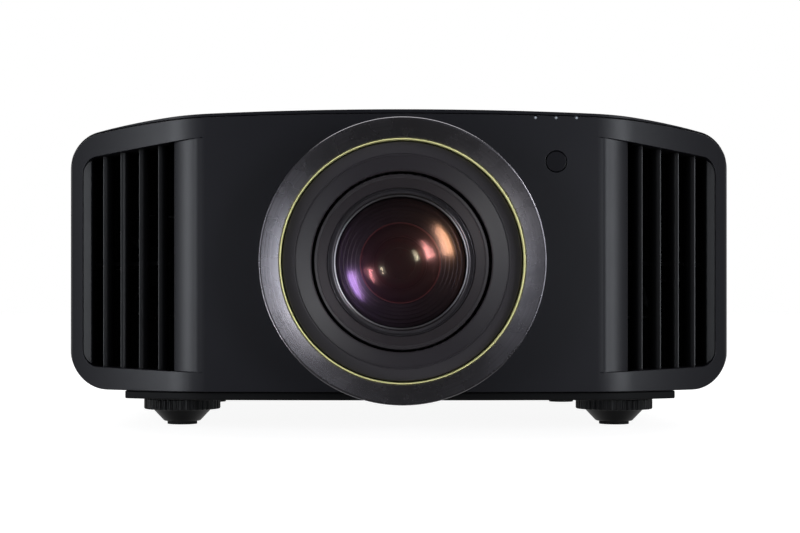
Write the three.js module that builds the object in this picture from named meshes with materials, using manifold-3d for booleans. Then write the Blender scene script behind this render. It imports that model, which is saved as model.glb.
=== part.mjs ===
// Home cinema projector: a wide black case with a large round lens in the middle of its front,
// finned exhaust vents either side, four screw feet below, and intake grilles, sockets and a
// keypad at the back. Millimetres, +Z up, front faces -Y, origin at the centre of the footprint.
import * as THREE from "three";
import { mergeVertices } from "three/addons/utils/BufferGeometryUtils.js";
import Module from "manifold-3d";

const wasm = await Module();
wasm.setup();

// ---- driving dimensions ----
const WIDTH = 500; // across the case
const FRONT_Y = -236; // the front panel at its centre line
const REAR_Y = 258; // outer face of the rear panel
const CROWN_Z = 233.4; // top of the cover at the centre line
const BODY_BOTTOM_Z = 28; // underside of the front panel and cover
const WALL = 3; // thickness of the moulded shells
const GAP = 0.4; // clearance between neighbouring shells
const LENS_Z = 122.5; // height of the lens axis
const FASCIA_DEPTH = 14; // how far the front panel's edge flange runs back
const FASCIA_DROP = 3.3; // the front panel's top edge lies this far below the cover's crown

// Tangent arcs from the centre line outwards: radius, and the angle each one ends at. The
// radius given as 0 is worked out so that the chain ends at half the case width.
const CROWN_ARCS = [[3600, 2.2], [0, 10], [28, 90]];
const FASCIA_CROWN_ARCS = [[4500, 1.7], [0, 8.5], [28, 90]];
const PLAN_ARCS = [[2400, 3.4], [70, 27], [0, 36], [8, 90]];
const BOTTOM_CORNER_R = 31;

const VENT = { inner: 143, outer: 239, top: 213.5, topOuter: 203, bottom: 42, bottomOuter: 45,
  cornerR: 12.5 };
const SCOOP = { radius: 41, from: 3.4, to: 40, tail: 16 }; // the panel rolling into the vent
const FIN_X = [179.2, 194.4, 209.2, 223.5];
const FIN = { thick: 2.4, front: 9, back: 34, ribZ: 124, rib: 3, ribDeep: 10, frame: 2.4,
  frameFrom: 171.5 };
const RIM_DEPTH = 7; // depth of the lip round each vent opening

const SENSOR = { x: 112.5, z: 195.5, r: 7.5 };
const INDICATOR = { xs: [97.5, 112.5, 127.5], z: 227, r: 0.9 };

const TALLEST = 260; // above every piece, for cutting solids that reach past it
const COVER_BACK_Y = 246;
const TRAY = { halfWidth: 205, bottom: 21.8, floor: 24, back: 245, wall: 2.5, bossR: 11, bossTop: 38 };
const CENTRE_PANEL = { halfWidth: 36, front: -226, back: 236, thick: 1.5, top: 234, cornerR: 5 };

const FOOT = { x: 166.4, frontY: -156, rearY: 168, dialR: 29.3, dialTop: 19.7, dialBottom: 11.8,
  coneTopR: 22, coneBottomR: 13.8, padR: 11.4, padTop: 2.2, studR: 5, studTop: 36, ribs: 20 };

const DUCT = { inner: 146, outer: 236, bottom: 38.5, top: 213, back: -95, wall: 2, rear: 2.5 };
const FAN = { x: 191, z: 122.5, r: 40.5, openR: 42.5, hubR: 17, bossR: 12, front: -119, back: -99,
  axleR: 2, blades: 7, bladeWide: 24, bladeThick: 1.6, pitch: 38 };

const GRILLE = { inner: 122, outer: 222, bottom: 62, pitch: 15.5, slot: 9.5, slots: 9 };
const RECESS = { left: -100, right: 100, bottom: 41, top: 90, floorY: 246.8, rim: 2.5 };
const KEYPAD = { x: 62, z: 146, spread: 16, cornerX: 27, cornerZ: 25, faceY: 259, flangeY: 253.4 };

// Lens pieces lie on the lens axis; depth is measured forwards from the front panel's plane.
const SHIFT_PLATE = { horizontal: -134, vertical: -139, base: -144, thick: 4 };
const LENS_HOLE_R = 90; // opening in the front panel, behind the trim ring

const LENS_SEGMENTS = 36;
const PLATE_SEGMENTS = 24;

// ---- materials ----
function material(color, roughness, metalness = 0, extra = {}) {
  return new THREE.MeshStandardMaterial({ color, roughness, metalness, flatShading: true, ...extra });
}
const satinBlack = material(0x202127, 0.55);
const ventBlack = material(0x0e0f11, 0.7);
const ringMetal = material(0x2b2b31, 0.35, 0.8);
const gold = material(0xc9bd72, 0.3, 0.9);
const barrelBlack = material(0x1b1a1d, 0.45, 0.3);
const coatedGlass = material(0x15101c, 0.05, 0, { transparent: true, opacity: 0.5 });
const darkWindow = material(0x14141a, 0.15);
const paintedSteel = material(0x1a1b1e, 0.6, 0.4);
const rubber = material(0x101010, 0.85);
const dialPlastic = material(0x1a1b1e, 0.6);
const castAluminium = material(0xa3a6a8, 0.5, 0.8);
const steelPlate = material(0xb4b7ba, 0.4, 0.9);
const gearPlastic = material(0x2c2d30, 0.6);
const boardGreen = material(0x1d4a35, 0.6);
const whiteFilter = material(0xc9ccc8, 0.95);
const silverSocket = material(0xb9bbbd, 0.35, 0.9);
const softButton = material(0x26272b, 0.65);

// ---- solids ----
// A closed geometry as a solid, turned so that its faces point out.
function solid(geometry) {
  const bare = geometry.index ? geometry.toNonIndexed() : geometry.clone();
  bare.deleteAttribute("normal");
  bare.deleteAttribute("uv");
  const merged = mergeVertices(bare, 1e-4);
  const corners = merged.index.array;
  const kept = [];
  for (let i = 0; i < corners.length; i += 3) {
    const [a, b, c] = [corners[i], corners[i + 1], corners[i + 2]];
    if (a !== b && b !== c && a !== c) kept.push(a, b, c);
  }
  const vertProperties = Float32Array.from(merged.attributes.position.array);
  const build = (list) =>
    new wasm.Manifold(new wasm.Mesh({ numProp: 3, vertProperties, triVerts: new Uint32Array(list) }));
  const made = build(kept);
  return made.volume() >= 0 ? made : build(kept.reverse());
}

const join = (first, ...rest) => rest.reduce((whole, piece) => whole.add(piece), first);
const cut = (first, ...rest) => rest.reduce((whole, piece) => whole.subtract(piece), first);
const common = (first, ...rest) => rest.reduce((whole, piece) => whole.intersect(piece), first);

function geometryOf(made) {
  const { numProp, vertProperties, triVerts } = made.getMesh();
  const count = vertProperties.length / numProp;
  const position = new Float32Array(count * 3);
  for (let i = 0; i < count; i++) {
    position.set(vertProperties.subarray(i * numProp, i * numProp + 3), i * 3);
  }
  return new THREE.BufferGeometry()
    .setAttribute("position", new THREE.BufferAttribute(position, 3))
    .setIndex(new THREE.BufferAttribute(triVerts, 1));
}

function meshOf(name, made, look) {
  const mesh = new THREE.Mesh(geometryOf(made), look);
  mesh.name = name;
  return mesh;
}

function block([x0, x1], [y0, y1], [z0, z1]) {
  const box = new THREE.BoxGeometry(x1 - x0, y1 - y0, z1 - z0);
  return solid(box.translate((x0 + x1) / 2, (y0 + y1) / 2, (z0 + z1) / 2));
}

const shapeOf = (points) => new THREE.Shape(points.map(([u, v]) => new THREE.Vector2(u, v)));

// A plan (x, y) outline pulled up from z0 to z1.
function risen(points, z0, z1) {
  const made = new THREE.ExtrudeGeometry(shapeOf(points), { depth: z1 - z0, bevelEnabled: false });
  return solid(made.translate(0, 0, z0));
}

// A front-view (x, z) outline pulled along Y from y0 to y1.
function pulledBack(points, y0, y1) {
  const made = new THREE.ExtrudeGeometry(shapeOf(points), { depth: y1 - y0, bevelEnabled: false });
  return solid(made.rotateX(Math.PI / 2).translate(0, y1, 0));
}

// A side-view (y, z) outline pulled along X from x0 to x1.
function pulledAcross(points, x0, x1) {
  const made = new THREE.ExtrudeGeometry(shapeOf(points), { depth: x1 - x0, bevelEnabled: false });
  return solid(made.rotateX(Math.PI / 2).rotateZ(Math.PI / 2).translate(x0, 0, 0));
}

// A closed (radius, height) profile turned about Z.
function turned(profile, segments = PLATE_SEGMENTS) {
  const points = [...profile, profile[0]].map(([r, h]) => new THREE.Vector2(r, h));
  return solid(new THREE.LatheGeometry(points, segments).rotateX(Math.PI / 2));
}

const disc = (r, z0, z1, segments) => turned([[0, z0], [r, z0], [r, z1], [0, z1]], segments);

function circle(x, y, r, segments = PLATE_SEGMENTS) {
  return Array.from({ length: segments }, (_, i) => {
    const angle = (2 * Math.PI * i) / segments;
    return [x + r * Math.cos(angle), y + r * Math.sin(angle)];
  });
}

function roundedRect(x0, x1, y0, y1, r, steps = 4) {
  const corners = [[x1 - r, y1 - r, 0], [x0 + r, y1 - r, 90], [x0 + r, y0 + r, 180], [x1 - r, y0 + r, 270]];
  return corners.flatMap(([cx, cy, start]) =>
    Array.from({ length: steps + 1 }, (_, i) => {
      const angle = THREE.MathUtils.degToRad(start + (90 * i) / steps);
      return [cx + r * Math.cos(angle), cy + r * Math.sin(angle)];
    }));
}

// ---- the case's curves ----
const sinDeg = (deg) => Math.sin(THREE.MathUtils.degToRad(deg));
const cosDeg = (deg) => Math.cos(THREE.MathUtils.degToRad(deg));

function fitted(arcs, halfWidth) {
  let known = 0;
  let freeSpan = 0;
  let from = 0;
  for (const [radius, to] of arcs) {
    const span = sinDeg(to) - sinDeg(from);
    if (radius) known += radius * span;
    else freeSpan = span;
    from = to;
  }
  return arcs.map(([radius, to]) => [radius || (halfWidth - known) / freeSpan, to]);
}

// Points [sideways, fallen] along the tangent arcs, moved inwards by inset.
function arcChain(arcs, inset = 0, degreesPerStep = 14) {
  const points = [];
  let [centreU, centreV, from] = [0, arcs[0][0], 0];
  arcs.forEach(([radius, to], index) => {
    const steps = Math.max(index === 0 ? 3 : 2, Math.ceil((to - from) / degreesPerStep));
    for (let i = index === 0 ? 0 : 1; i <= steps; i++) {
      const angle = from + ((to - from) * i) / steps;
      points.push([
        centreU + (radius - inset) * sinDeg(angle),
        centreV - (radius - inset) * cosDeg(angle),
      ]);
    }
    const next = arcs[index + 1];
    if (next) {
      centreU += (radius - next[0]) * sinDeg(to);
      centreV -= (radius - next[0]) * cosDeg(to);
    }
    from = to;
  });
  return points;
}

const crownArcs = fitted(CROWN_ARCS, WIDTH / 2);
const fasciaCrownArcs = fitted(FASCIA_CROWN_ARCS, WIDTH / 2);
const planArcs = fitted(PLAN_ARCS, WIDTH / 2);

const mirroredX = (points) => points.map(([u, v]) => [-u, v]).reverse();
const bothSides = (rightHalf) => [...rightHalf, ...mirroredX(rightHalf.filter(([u]) => u > 1e-6))];

// Front view of the case: crowned top, straight sides, rounded lower corners.
function caseOutline(arcs, crownZ, inset = 0) {
  const top = arcChain(arcs, inset).map(([u, fallen]) => [u, crownZ - fallen]);
  const steps = 5;
  const corner = Array.from({ length: steps + 1 }, (_, i) => [
    WIDTH / 2 - BOTTOM_CORNER_R + (BOTTOM_CORNER_R - inset) * cosDeg((90 * i) / steps),
    BODY_BOTTOM_Z + BOTTOM_CORNER_R - (BOTTOM_CORNER_R - inset) * sinDeg((90 * i) / steps),
  ]);
  return bothSides([...top, ...corner]);
}
const coverOutline = (inset) => caseOutline(crownArcs, CROWN_Z, inset);
const fasciaOutline = (inset) => caseOutline(fasciaCrownArcs, CROWN_Z - FASCIA_DROP, inset);

// Plan view of the front: the curve, moved inwards by inset and back by shift.
const frontCurve = (shift = 0, inset = 0) =>
  bothSides(arcChain(planArcs, inset).map(([u, fallen]) => [u, FRONT_Y + fallen + shift]))
    .sort((a, b) => a[0] - b[0] || b[1] - a[1]);

// Plan region between two curves, or between a curve and a straight line at y.
const planBand = (near, far) => [...near, ...[...far].reverse()];
const behind = (curve, y) => [[curve[0][0], y], ...curve, [curve.at(-1)[0], y]].reverse();

// ---- front panel, vents and their fins (right side; the left is its mirror image) ----
function ventOutline(grow = 0) {
  const { inner, outer, top, topOuter, bottom, bottomOuter, cornerR } = VENT;
  const radius = cornerR + grow;
  const steps = 4;
  const turn = (cx, cz, start) =>
    Array.from({ length: steps + 1 }, (_, i) => {
      const angle = start + (90 * i) / steps;
      return [cx + radius * cosDeg(angle), cz + radius * sinDeg(angle)];
    });
  return [
    [inner, bottom - grow],
    ...turn(outer - cornerR, bottomOuter + cornerR, -90),
    ...turn(outer - cornerR, topOuter - cornerR, 0),
    [inner, top + grow],
  ];
}

function scoop() {
  const start = arcChain(planArcs.slice(0, 1)).at(-1);
  const { radius, from, to, tail } = SCOOP;
  const centre = [start[0] - radius * sinDeg(from), FRONT_Y + start[1] + radius * cosDeg(from)];
  const edge = (inset) => {
    const steps = 5;
    const arc = Array.from({ length: steps + 1 }, (_, i) => {
      const angle = from + ((to - from) * i) / steps;
      return [centre[0] + (radius - inset) * sinDeg(angle), centre[1] - (radius - inset) * cosDeg(angle)];
    });
    const [x, y] = arc.at(-1);
    return [...arc, [x, y + tail]];
  };
  return risen(planBand(edge(0), edge(WALL)), VENT.bottom - 2, VENT.top + 1);
}

const mirror = (geometry) => geometry.clone().scale(-1, 1, 1);
const mirroredSolid = (made) => solid(mirror(geometryOf(made)));

function frontFascia() {
  const depth = [FRONT_Y - 5, FRONT_Y + 100];
  const flange = risen(planBand(frontCurve(), frontCurve(FASCIA_DEPTH)), 0, TALLEST);
  const hollow = risen(planBand(frontCurve(0, WALL), frontCurve(40, WALL)), 0, TALLEST);
  const shell = cut(
    common(pulledBack(fasciaOutline(0), ...depth), flange),
    common(pulledBack(fasciaOutline(WALL), ...depth), hollow),
  );
  const rimBand = cut(
    common(
      pulledBack(ventOutline(FIN.frame), ...depth),
      risen(planBand(frontCurve(0.5), frontCurve(RIM_DEPTH)), 0, TALLEST),
    ),
    block([0, FIN.frameFrom], depth, [0, TALLEST]),
  );
  const opening = pulledBack(ventOutline(), ...depth);
  const oneSide = (made) => [made, mirroredSolid(made)];
  const open = cut(join(shell, ...oneSide(rimBand)), ...oneSide(opening));
  const lensHole = pulledBack(circle(0, LENS_Z, LENS_HOLE_R, LENS_SEGMENTS), ...depth);
  const sensorHole = pulledBack(circle(SENSOR.x, SENSOR.z, SENSOR.r + GAP, 24), ...depth);
  const lightHoles = INDICATOR.xs.map((x) =>
    pulledBack(circle(x, INDICATOR.z, INDICATOR.r + 0.3, 8), ...depth));
  return cut(join(open, ...oneSide(scoop())), lensHole, sensorHole, ...lightHoles);
}

function ventFins() {
  const depth = [FRONT_Y - 5, FRONT_Y + 130];
  const inside = pulledBack(ventOutline(FIN.frame), ...depth);
  const keepClear = block([0, FIN.frameFrom], depth, [0, TALLEST]);
  const span = risen(planBand(frontCurve(RIM_DEPTH + GAP), frontCurve(FIN.back)), 0, TALLEST);
  const frame = cut(common(inside, span), pulledBack(ventOutline(), ...depth), keepClear);
  const bladeSpan = risen(planBand(frontCurve(FIN.front), frontCurve(FIN.back)), 0, TALLEST);
  const blades = FIN_X.map((x) =>
    common(block([x - FIN.thick / 2, x + FIN.thick / 2], depth, [0, TALLEST]), inside, bladeSpan));
  const ribSpan = risen(planBand(frontCurve(FIN.back - FIN.ribDeep), frontCurve(FIN.back)), 0, TALLEST);
  const ribHeight = [FIN.ribZ - FIN.rib / 2, FIN.ribZ + FIN.rib / 2];
  const rib = common(block([FIN.frameFrom + 0.5, VENT.outer + 1], depth, ribHeight), ribSpan);
  return join(frame, rib, ...blades);
}

// Exhaust duct from the fins back to the fan, with the fan's spider and axle at its rear.
function fanDuct() {
  const { inner, outer, bottom, top, back, wall, rear } = DUCT;
  const clear = risen(behind(frontCurve(FIN.back + 1), 0), 0, TALLEST);
  const walls = common(
    cut(
      block([inner, outer], [-220, back], [bottom, top]),
      block([inner + wall, outer - wall], [-225, back - rear], [bottom + wall, top - wall]),
    ),
    clear,
  );
  const plateY = [back - rear - 1, back + 1];
  const opened = cut(walls, pulledBack(circle(FAN.x, FAN.z, FAN.openR, 28), ...plateY));
  const strutY = [back - rear, back];
  const struts = [0, 1, 2].map((i) => {
    const bar = new THREE.BoxGeometry(FAN.openR * 2 + 2, rear, 5);
    return solid(bar.rotateY(Math.PI / 6 + (i * Math.PI) / 3).translate(FAN.x, back - rear / 2, FAN.z));
  });
  const boss = pulledBack(circle(FAN.x, FAN.z, FAN.bossR, 16), ...strutY);
  const axle = pulledBack(circle(FAN.x, FAN.z, FAN.axleR, 10), FAN.front, back - rear / 2);
  return join(opened, ...struts, boss, axle);
}

// Fan rotor about Z, front face up, centred on its axle.
function fanRotor() {
  const length = FAN.back - FAN.front;
  const hub = disc(FAN.hubR, 0, length, 20);
  const bladeLength = FAN.r - FAN.hubR + 1.5;
  const blades = Array.from({ length: FAN.blades }, (_, i) => {
    const blade = new THREE.BoxGeometry(bladeLength, FAN.bladeWide, FAN.bladeThick);
    blade.rotateX(THREE.MathUtils.degToRad(FAN.pitch)).translate(FAN.r - bladeLength / 2, 0, length / 2);
    return solid(blade.rotateZ((2 * Math.PI * i) / FAN.blades));
  });
  return cut(join(hub, ...blades), disc(FAN.axleR + 0.3, -1, length + 1, 10));
}

// ---- cover, centre panel, base tray, rear panel ----
function topCover() {
  const depth = [FRONT_Y, COVER_BACK_Y];
  const shell = cut(
    pulledBack(coverOutline(0), ...depth),
    pulledBack(coverOutline(WALL), depth[0] - 1, depth[1] + 1),
  );
  const reach = risen(behind(frontCurve(2), 300), 0, TALLEST);
  const fasciaSpan = risen(planBand(frontCurve(-20), frontCurve(FASCIA_DEPTH + GAP)), 0, TALLEST);
  const fasciaRoom = common(
    pulledBack(caseOutline(fasciaCrownArcs, CROWN_Z - FASCIA_DROP + GAP), -300, 0), fasciaSpan);
  const edgeX = TRAY.halfWidth + 1;
  const shoulders = [[edgeX, WIDTH], [-WIDTH, -edgeX]].map((ends) =>
    common(block(ends, [-300, 0], [0, TALLEST]), fasciaSpan));
  const bottomOpening = block([-edgeX, edgeX], [-300, 300], [0, BODY_BOTTOM_Z + WALL + 2]);
  const { halfWidth, front, back, thick, top } = CENTRE_PANEL;
  const panelSeat = block(
    [-halfWidth - GAP, halfWidth + GAP], [front - GAP, back + GAP], [top - thick - GAP, TALLEST]);
  return cut(common(shell, reach), fasciaRoom, ...shoulders, bottomOpening, panelSeat);
}

function topCentrePanel() {
  const { halfWidth, front, back, thick, top, cornerR } = CENTRE_PANEL;
  return risen(roundedRect(-halfWidth, halfWidth, front, back, cornerR), top - thick, top);
}

const footPlaces = [
  ["front_left", -FOOT.x, FOOT.frontY],
  ["front_right", FOOT.x, FOOT.frontY],
  ["rear_left", -FOOT.x, FOOT.rearY],
  ["rear_right", FOOT.x, FOOT.rearY],
];

function baseTray() {
  const { halfWidth, bottom, floor, back, wall, bossR, bossTop } = TRAY;
  const region = (inset) => {
    const reach = risen(behind(frontCurve(4 + inset), back - inset), bottom - 1, 60);
    return common(reach, block([-halfWidth + inset, halfWidth - inset], [-300, 300], [0, 100]));
  };
  const lip = BODY_BOTTOM_Z - GAP;
  const pan = cut(
    common(region(0), block([-300, 300], [-300, 300], [bottom, lip])),
    common(region(wall), block([-300, 300], [-300, 300], [floor, 100])),
  );
  const bosses = footPlaces.map(([, x, y]) => risen(circle(x, y, bossR, 16), bottom + 1, bossTop));
  const bores = footPlaces.map(([, x, y]) => risen(circle(x, y, FOOT.studR + 0.6, 14), 0, 60));
  return cut(join(pan, ...bosses), ...bores);
}

// Rear keypad: name, across and up from the keypad's centre, half width, half height, corner.
const { spread, cornerX, cornerZ } = KEYPAD;
const BUTTONS = [
  ["ok_button", 0, 0, 6, 6, 5.9],
  ["up_button", 0, spread, 5, 4, 1.5],
  ["down_button", 0, -spread, 5, 4, 1.5],
  ["left_button", spread, 0, 4, 5, 1.5],
  ["right_button", -spread, 0, 4, 5, 1.5],
  ["power_button", cornerX, cornerZ, 5, 5, 4.9],
  ["input_button", -cornerX, cornerZ, 5, 3.5, 1.5],
  ["menu_button", cornerX, -cornerZ, 5, 3.5, 1.5],
  ["back_button", -cornerX, -cornerZ, 5, 3.5, 1.5],
];

// A button in its own frame: its face points along +Y, its flange sits behind the panel.
function button(halfWidth, halfHeight, corner) {
  const stem = roundedRect(-halfWidth, halfWidth, -halfHeight, halfHeight, corner, 2);
  const flange = roundedRect(
    -halfWidth - 1.2, halfWidth + 1.2, -halfHeight - 1.2, halfHeight + 1.2, corner + 0.5, 1);
  const { faceY, flangeY } = KEYPAD;
  return join(
    pulledBack(stem, flangeY - faceY, 0),
    pulledBack(flange, flangeY - faceY, flangeY - faceY + 1.2),
  );
}

function rearPanel() {
  const depth = [COVER_BACK_Y + GAP, REAR_Y];
  const wallFront = REAR_Y - WALL;
  const cap = cut(
    pulledBack(coverOutline(0), ...depth),
    pulledBack(coverOutline(WALL), depth[0] - 1, wallFront),
  );
  const { left, right, bottom, top, floorY, rim } = RECESS;
  const frame = pulledBack(
    roundedRect(left - rim, right + rim, bottom - rim, top + rim, 5, 3), floorY, REAR_Y);
  const recess = pulledBack(roundedRect(left, right, bottom, top, 3, 3), floorY - 5, REAR_Y + 1);
  const slots = [-1, 1].flatMap((side) =>
    Array.from({ length: GRILLE.slots }, (_, i) => {
      const z = GRILLE.bottom + i * GRILLE.pitch;
      const ends = [side * GRILLE.inner, side * GRILLE.outer].sort((a, b) => a - b);
      return block(ends, [240, 270], [z, z + GRILLE.slot]);
    }));
  const keyHoles = BUTTONS.map(([, across, up, halfWidth, halfHeight, corner]) =>
    pulledBack(
      roundedRect(
        KEYPAD.x + across - halfWidth - 0.35, KEYPAD.x + across + halfWidth + 0.35,
        KEYPAD.z + up - halfHeight - 0.35, KEYPAD.z + up + halfHeight + 0.35, corner + 0.3, 2),
      240, 270));
  return cut(join(cap, frame), recess, ...slots, ...keyHoles);
}

// ---- sockets at the back ----
const SOCKET_Z = 62;
const HDMI_X = [-26, 4];
const JACK_Z = 79; // the two round jacks sit above the HDMI sockets
const LAN_X = 34;
const AC = { x: -70, halfWidth: 15, halfHeight: 11, back: 226 };
const SOCKET_FACE_Y = 250;

function socketShell(x, halfWidth, halfHeight, wall, back, face = SOCKET_FACE_Y) {
  return cut(
    block([x - halfWidth, x + halfWidth], [back, face], [SOCKET_Z - halfHeight, SOCKET_Z + halfHeight]),
    block(
      [x - halfWidth + wall, x + halfWidth - wall], [back + wall, face + 1],
      [SOCKET_Z - halfHeight + wall, SOCKET_Z + halfHeight - wall]),
  );
}

const hdmiSocket = (x) => socketShell(x, 8, 3.2, 0.9, 237);

function lanSocket() {
  const key = block([LAN_X - 2, LAN_X + 2], [240, 250], [SOCKET_Z + 5.5, SOCKET_Z + 7]);
  return cut(socketShell(LAN_X, 8, 7, 1.5, 235), key);
}

function acInlet() {
  const { x, halfWidth, halfHeight, back } = AC;
  const shell = socketShell(x, halfWidth, halfHeight, 2.2, back, 252);
  const pins = [[-7, -2], [0, 2], [7, -2]].map(([across, up]) =>
    block(
      [x + across - 1, x + across + 1], [back + 1, back + 14],
      [SOCKET_Z + up - 2.5, SOCKET_Z + up + 2.5]));
  return join(shell, ...pins);
}

// Steel plate behind the rear recess, with the serial connector and two jacks fixed in it.
function connectorPanel() {
  const plate = block(
    [RECESS.left - 4, RECESS.right + 4], [244.2, 246.2], [RECESS.bottom - 5, RECESS.top + 5]);
  const room = (x, halfWidth, halfHeight) =>
    block(
      [x - halfWidth - 0.35, x + halfWidth + 0.35], [240, 250],
      [SOCKET_Z - halfHeight - 0.35, SOCKET_Z + halfHeight + 0.35]);
  const rooms = [...HDMI_X.map((x) => room(x, 8, 3.2)), room(LAN_X, 8, 7),
    room(AC.x, AC.halfWidth, AC.halfHeight)];
  const serialFlange = pulledBack(roundedRect(54, 86, SOCKET_Z - 6.5, SOCKET_Z + 6.5, 2, 2), 246, 247.5);
  const serialShell = pulledBack(
    [[61, SOCKET_Z + 4.5], [79, SOCKET_Z + 4.5], [77.5, SOCKET_Z - 4.5], [62.5, SOCKET_Z - 4.5]].reverse(),
    246, 251);
  const jackRings = HDMI_X.map((x) => pulledBack(circle(x, JACK_Z, 4.5, 20), 246, 249));
  const jackHoles = HDMI_X.map((x) => pulledBack(circle(x, JACK_Z, 1.8, 12), 240, 260));
  return cut(join(plate, serialFlange, serialShell, ...jackRings), ...rooms, ...jackHoles);
}

// Pleated filter in its frame, behind one of the rear grilles.
function intakeFilter(side) {
  const ends = [side * (GRILLE.inner - 5), side * (GRILLE.outer + 4)].sort((a, b) => a - b);
  const inner = [ends[0] + 5, ends[1] - 5];
  const [bottom, top] = [GRILLE.bottom - 6, GRILLE.bottom + GRILLE.slots * GRILLE.pitch + 1];
  const frame = cut(
    block(ends, [238, 250], [bottom, top]),
    block(inner, [230, 260], [bottom + 5, top - 5]),
  );
  const pleats = 12;
  const height = (top - bottom - 8) / pleats;
  const edge = (y) =>
    Array.from({ length: pleats * 2 + 1 }, (_, i) => [y + (i % 2) * 5, bottom + 4 + (i * height) / 2]);
  const outline = [...edge(241), ...edge(242.6).reverse()].reverse();
  const media = pulledAcross(outline, inner[0] - 1, inner[1] + 1);
  return join(frame, media);
}

// ---- lens surround and lens, about the lens axis (height = forwards of the front panel) ----
function lensTrimRing() {
  return turned([
    [103, -4], [103, 17.5], [102.1, 20.6], [100.3, 22.4], [98.4, 23], [96.8, 22.6],
    [88, 17.4], [88, -4],
  ], LENS_SEGMENTS);
}

const goldAccentRing = () =>
  turned([[87.7, 4], [87.7, 18.2], [86.7, 18.8], [85.7, 18.2], [85.7, 4]], LENS_SEGMENTS);

const lensWell = () =>
  turned([
    [83.7, 13], [77.1, 12.2], [76.4, 11.2], [65.4, 5.6], [65.4, 3.2], [80.9, 9.4],
    [80.9, -9.2], [91, -9.2], [91, -6.4], [83.7, -6.4],
  ], LENS_SEGMENTS);

const lensBarrel = () =>
  turned([
    [64, 1], [54.2, -7.2], [54.2, -12.5], [48.5, -12.5], [48.5, -24], [52, -24], [52, -146],
    [61, -146], [61, -14], [64, -11],
  ], LENS_SEGMENTS);

const lensFrontRing = () =>
  turned([
    [53.9, -8.2], [50.6, -8.2], [49.9, -8.9], [48.6, -10.6], [48.6, -12.2], [53.9, -12.2],
  ], LENS_SEGMENTS);

// Disc lens of radius r: front and back faces bulge by the given heights (negative = hollow).
function lensElement(r, front, back, frontBulge, backBulge, segments = PLATE_SEGMENTS) {
  const face = (edgeHeight, bulge) =>
    [1, 0.66, 0.33, 0].map((share) => [r * share, edgeHeight + bulge * (1 - share * share)]);
  return turned([...face(front, frontBulge), ...face(back, backBulge).reverse()], segments);
}

const frontElement = () => lensElement(48.1, -14, -22, 7, 2);
const focusCell = () => lensElement(51.5, -46, -60, -4, 4);
const zoomCell = () => lensElement(51.5, -104, -120, 5, -4);

// Toothed ring around the barrel, driven by a small motor.
function toothedRing(front, back) {
  const teeth = 30;
  const outline = Array.from({ length: teeth * 2 }, (_, i) => {
    const angle = (Math.PI * i) / teeth;
    const r = i % 2 ? 68.5 : 66;
    return [r * Math.cos(angle), r * Math.sin(angle)];
  });
  return cut(
    risen(outline, back, front), risen(circle(0, 0, 61.7, LENS_SEGMENTS), back - 1, front + 1));
}

const plate = (halfWidth, low, high, level, holeR) =>
  cut(
    risen(roundedRect(-halfWidth, halfWidth, low, high, 6, 2), level, level + SHIFT_PLATE.thick),
    risen(circle(0, 0, holeR, 36), level - 1, level + SHIFT_PLATE.thick + 1),
  );
const shiftBasePlate = () => plate(100, 24.4 - LENS_Z, 94, SHIFT_PLATE.base, 73);
const verticalShiftPlate = () => plate(84, -80, 80, SHIFT_PLATE.vertical, 69);
const horizontalShiftPlate = () => plate(74, -74, 74, SHIFT_PLATE.horizontal, 61.6);

// Small gear motor with its lead screw, lying along the X axis.
function shiftMotor() {
  const made = join(disc(8, 0, 28, 16), disc(3, 27, 62, 10));
  return solid(geometryOf(made).rotateY(Math.PI / 2));
}

// ---- light engine, electronics ----
function opticalBlock() {
  const core = block([-52, 52], [-78, 20], [74, 171]);
  const snout = pulledBack(circle(0, LENS_Z, 44, 28), -89, -70);
  const relayArm = block([-140, -50], [-24, 16], [94, 150]);
  return join(core, snout, relayArm);
}

const imagingPanelRed = () =>
  join(block([-24, 24], [20.4, 24], [100, 145]), block([-16, 16], [23, 40], [108, 137]));
const imagingPanelGreen = () =>
  join(block([52.4, 56], [-52, -6], [100, 145]), block([55, 72], [-44, -14], [108, 137]));
const imagingPanelBlue = () =>
  join(block([-24, 24], [-52, -6], [171.4, 175]), block([-16, 16], [-44, -14], [174, 188]));

function laserModule() {
  const body = block([-236, -141], [-42, 62], [60, 182]);
  const cap = block([-225, -155], [60, 92], [80, 160]);
  return join(body, cap);
}

function laserHeatsink() {
  const fins = 12;
  const [bottom, top, pitch] = [46, 208, (208 - 46 - 2) / (fins - 1)];
  const comb = Array.from({ length: fins }, (_, i) =>
    block([-238, -148], [-90, -47], [bottom + i * pitch, bottom + i * pitch + 2]));
  return join(block([-238, -148], [-48, -44], [bottom, top]), ...comb);
}

function powerSupply() {
  const ribs = Array.from({ length: 8 }, (_, i) =>
    block([112, 226], [16 + i * 24, 24 + i * 24], [127, 132]));
  return join(block([106, 234], [-30, 226], [40, 128]), ...ribs);
}

// Chips on the board: across, back, half width, height.
const CHIPS = [
  [-60, 90, 24, 6], [-10, 100, 18, 4], [40, 92, 20, 10],
  [-50, 160, 16, 8], [20, 170, 26, 12], [70, 150, 10, 14],
];

function mainBoard() {
  const [bottom, top] = [105, 106.8];
  const parts = CHIPS.map(([x, y, half, height]) =>
    block([x - half, x + half], [y - half * 0.7, y + half * 0.7], [bottom, top + height]));
  return join(block([-98, 98], [60, 232], [bottom, top]), ...parts);
}

// ---- indicator lights and sensor window ----
const panelY = (x) => FRONT_Y + (x * x) / (2 * PLAN_ARCS[0][0]); // on the nearly flat middle

function sensorWindow() {
  const faceY = panelY(SENSOR.x);
  return join(
    pulledBack(circle(SENSOR.x, SENSOR.z, SENSOR.r, 24), faceY + 0.4, faceY + 5),
    pulledBack(circle(SENSOR.x, SENSOR.z, SENSOR.r + 2.5, 24), faceY + 3.8, faceY + 5.4),
  );
}

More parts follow.
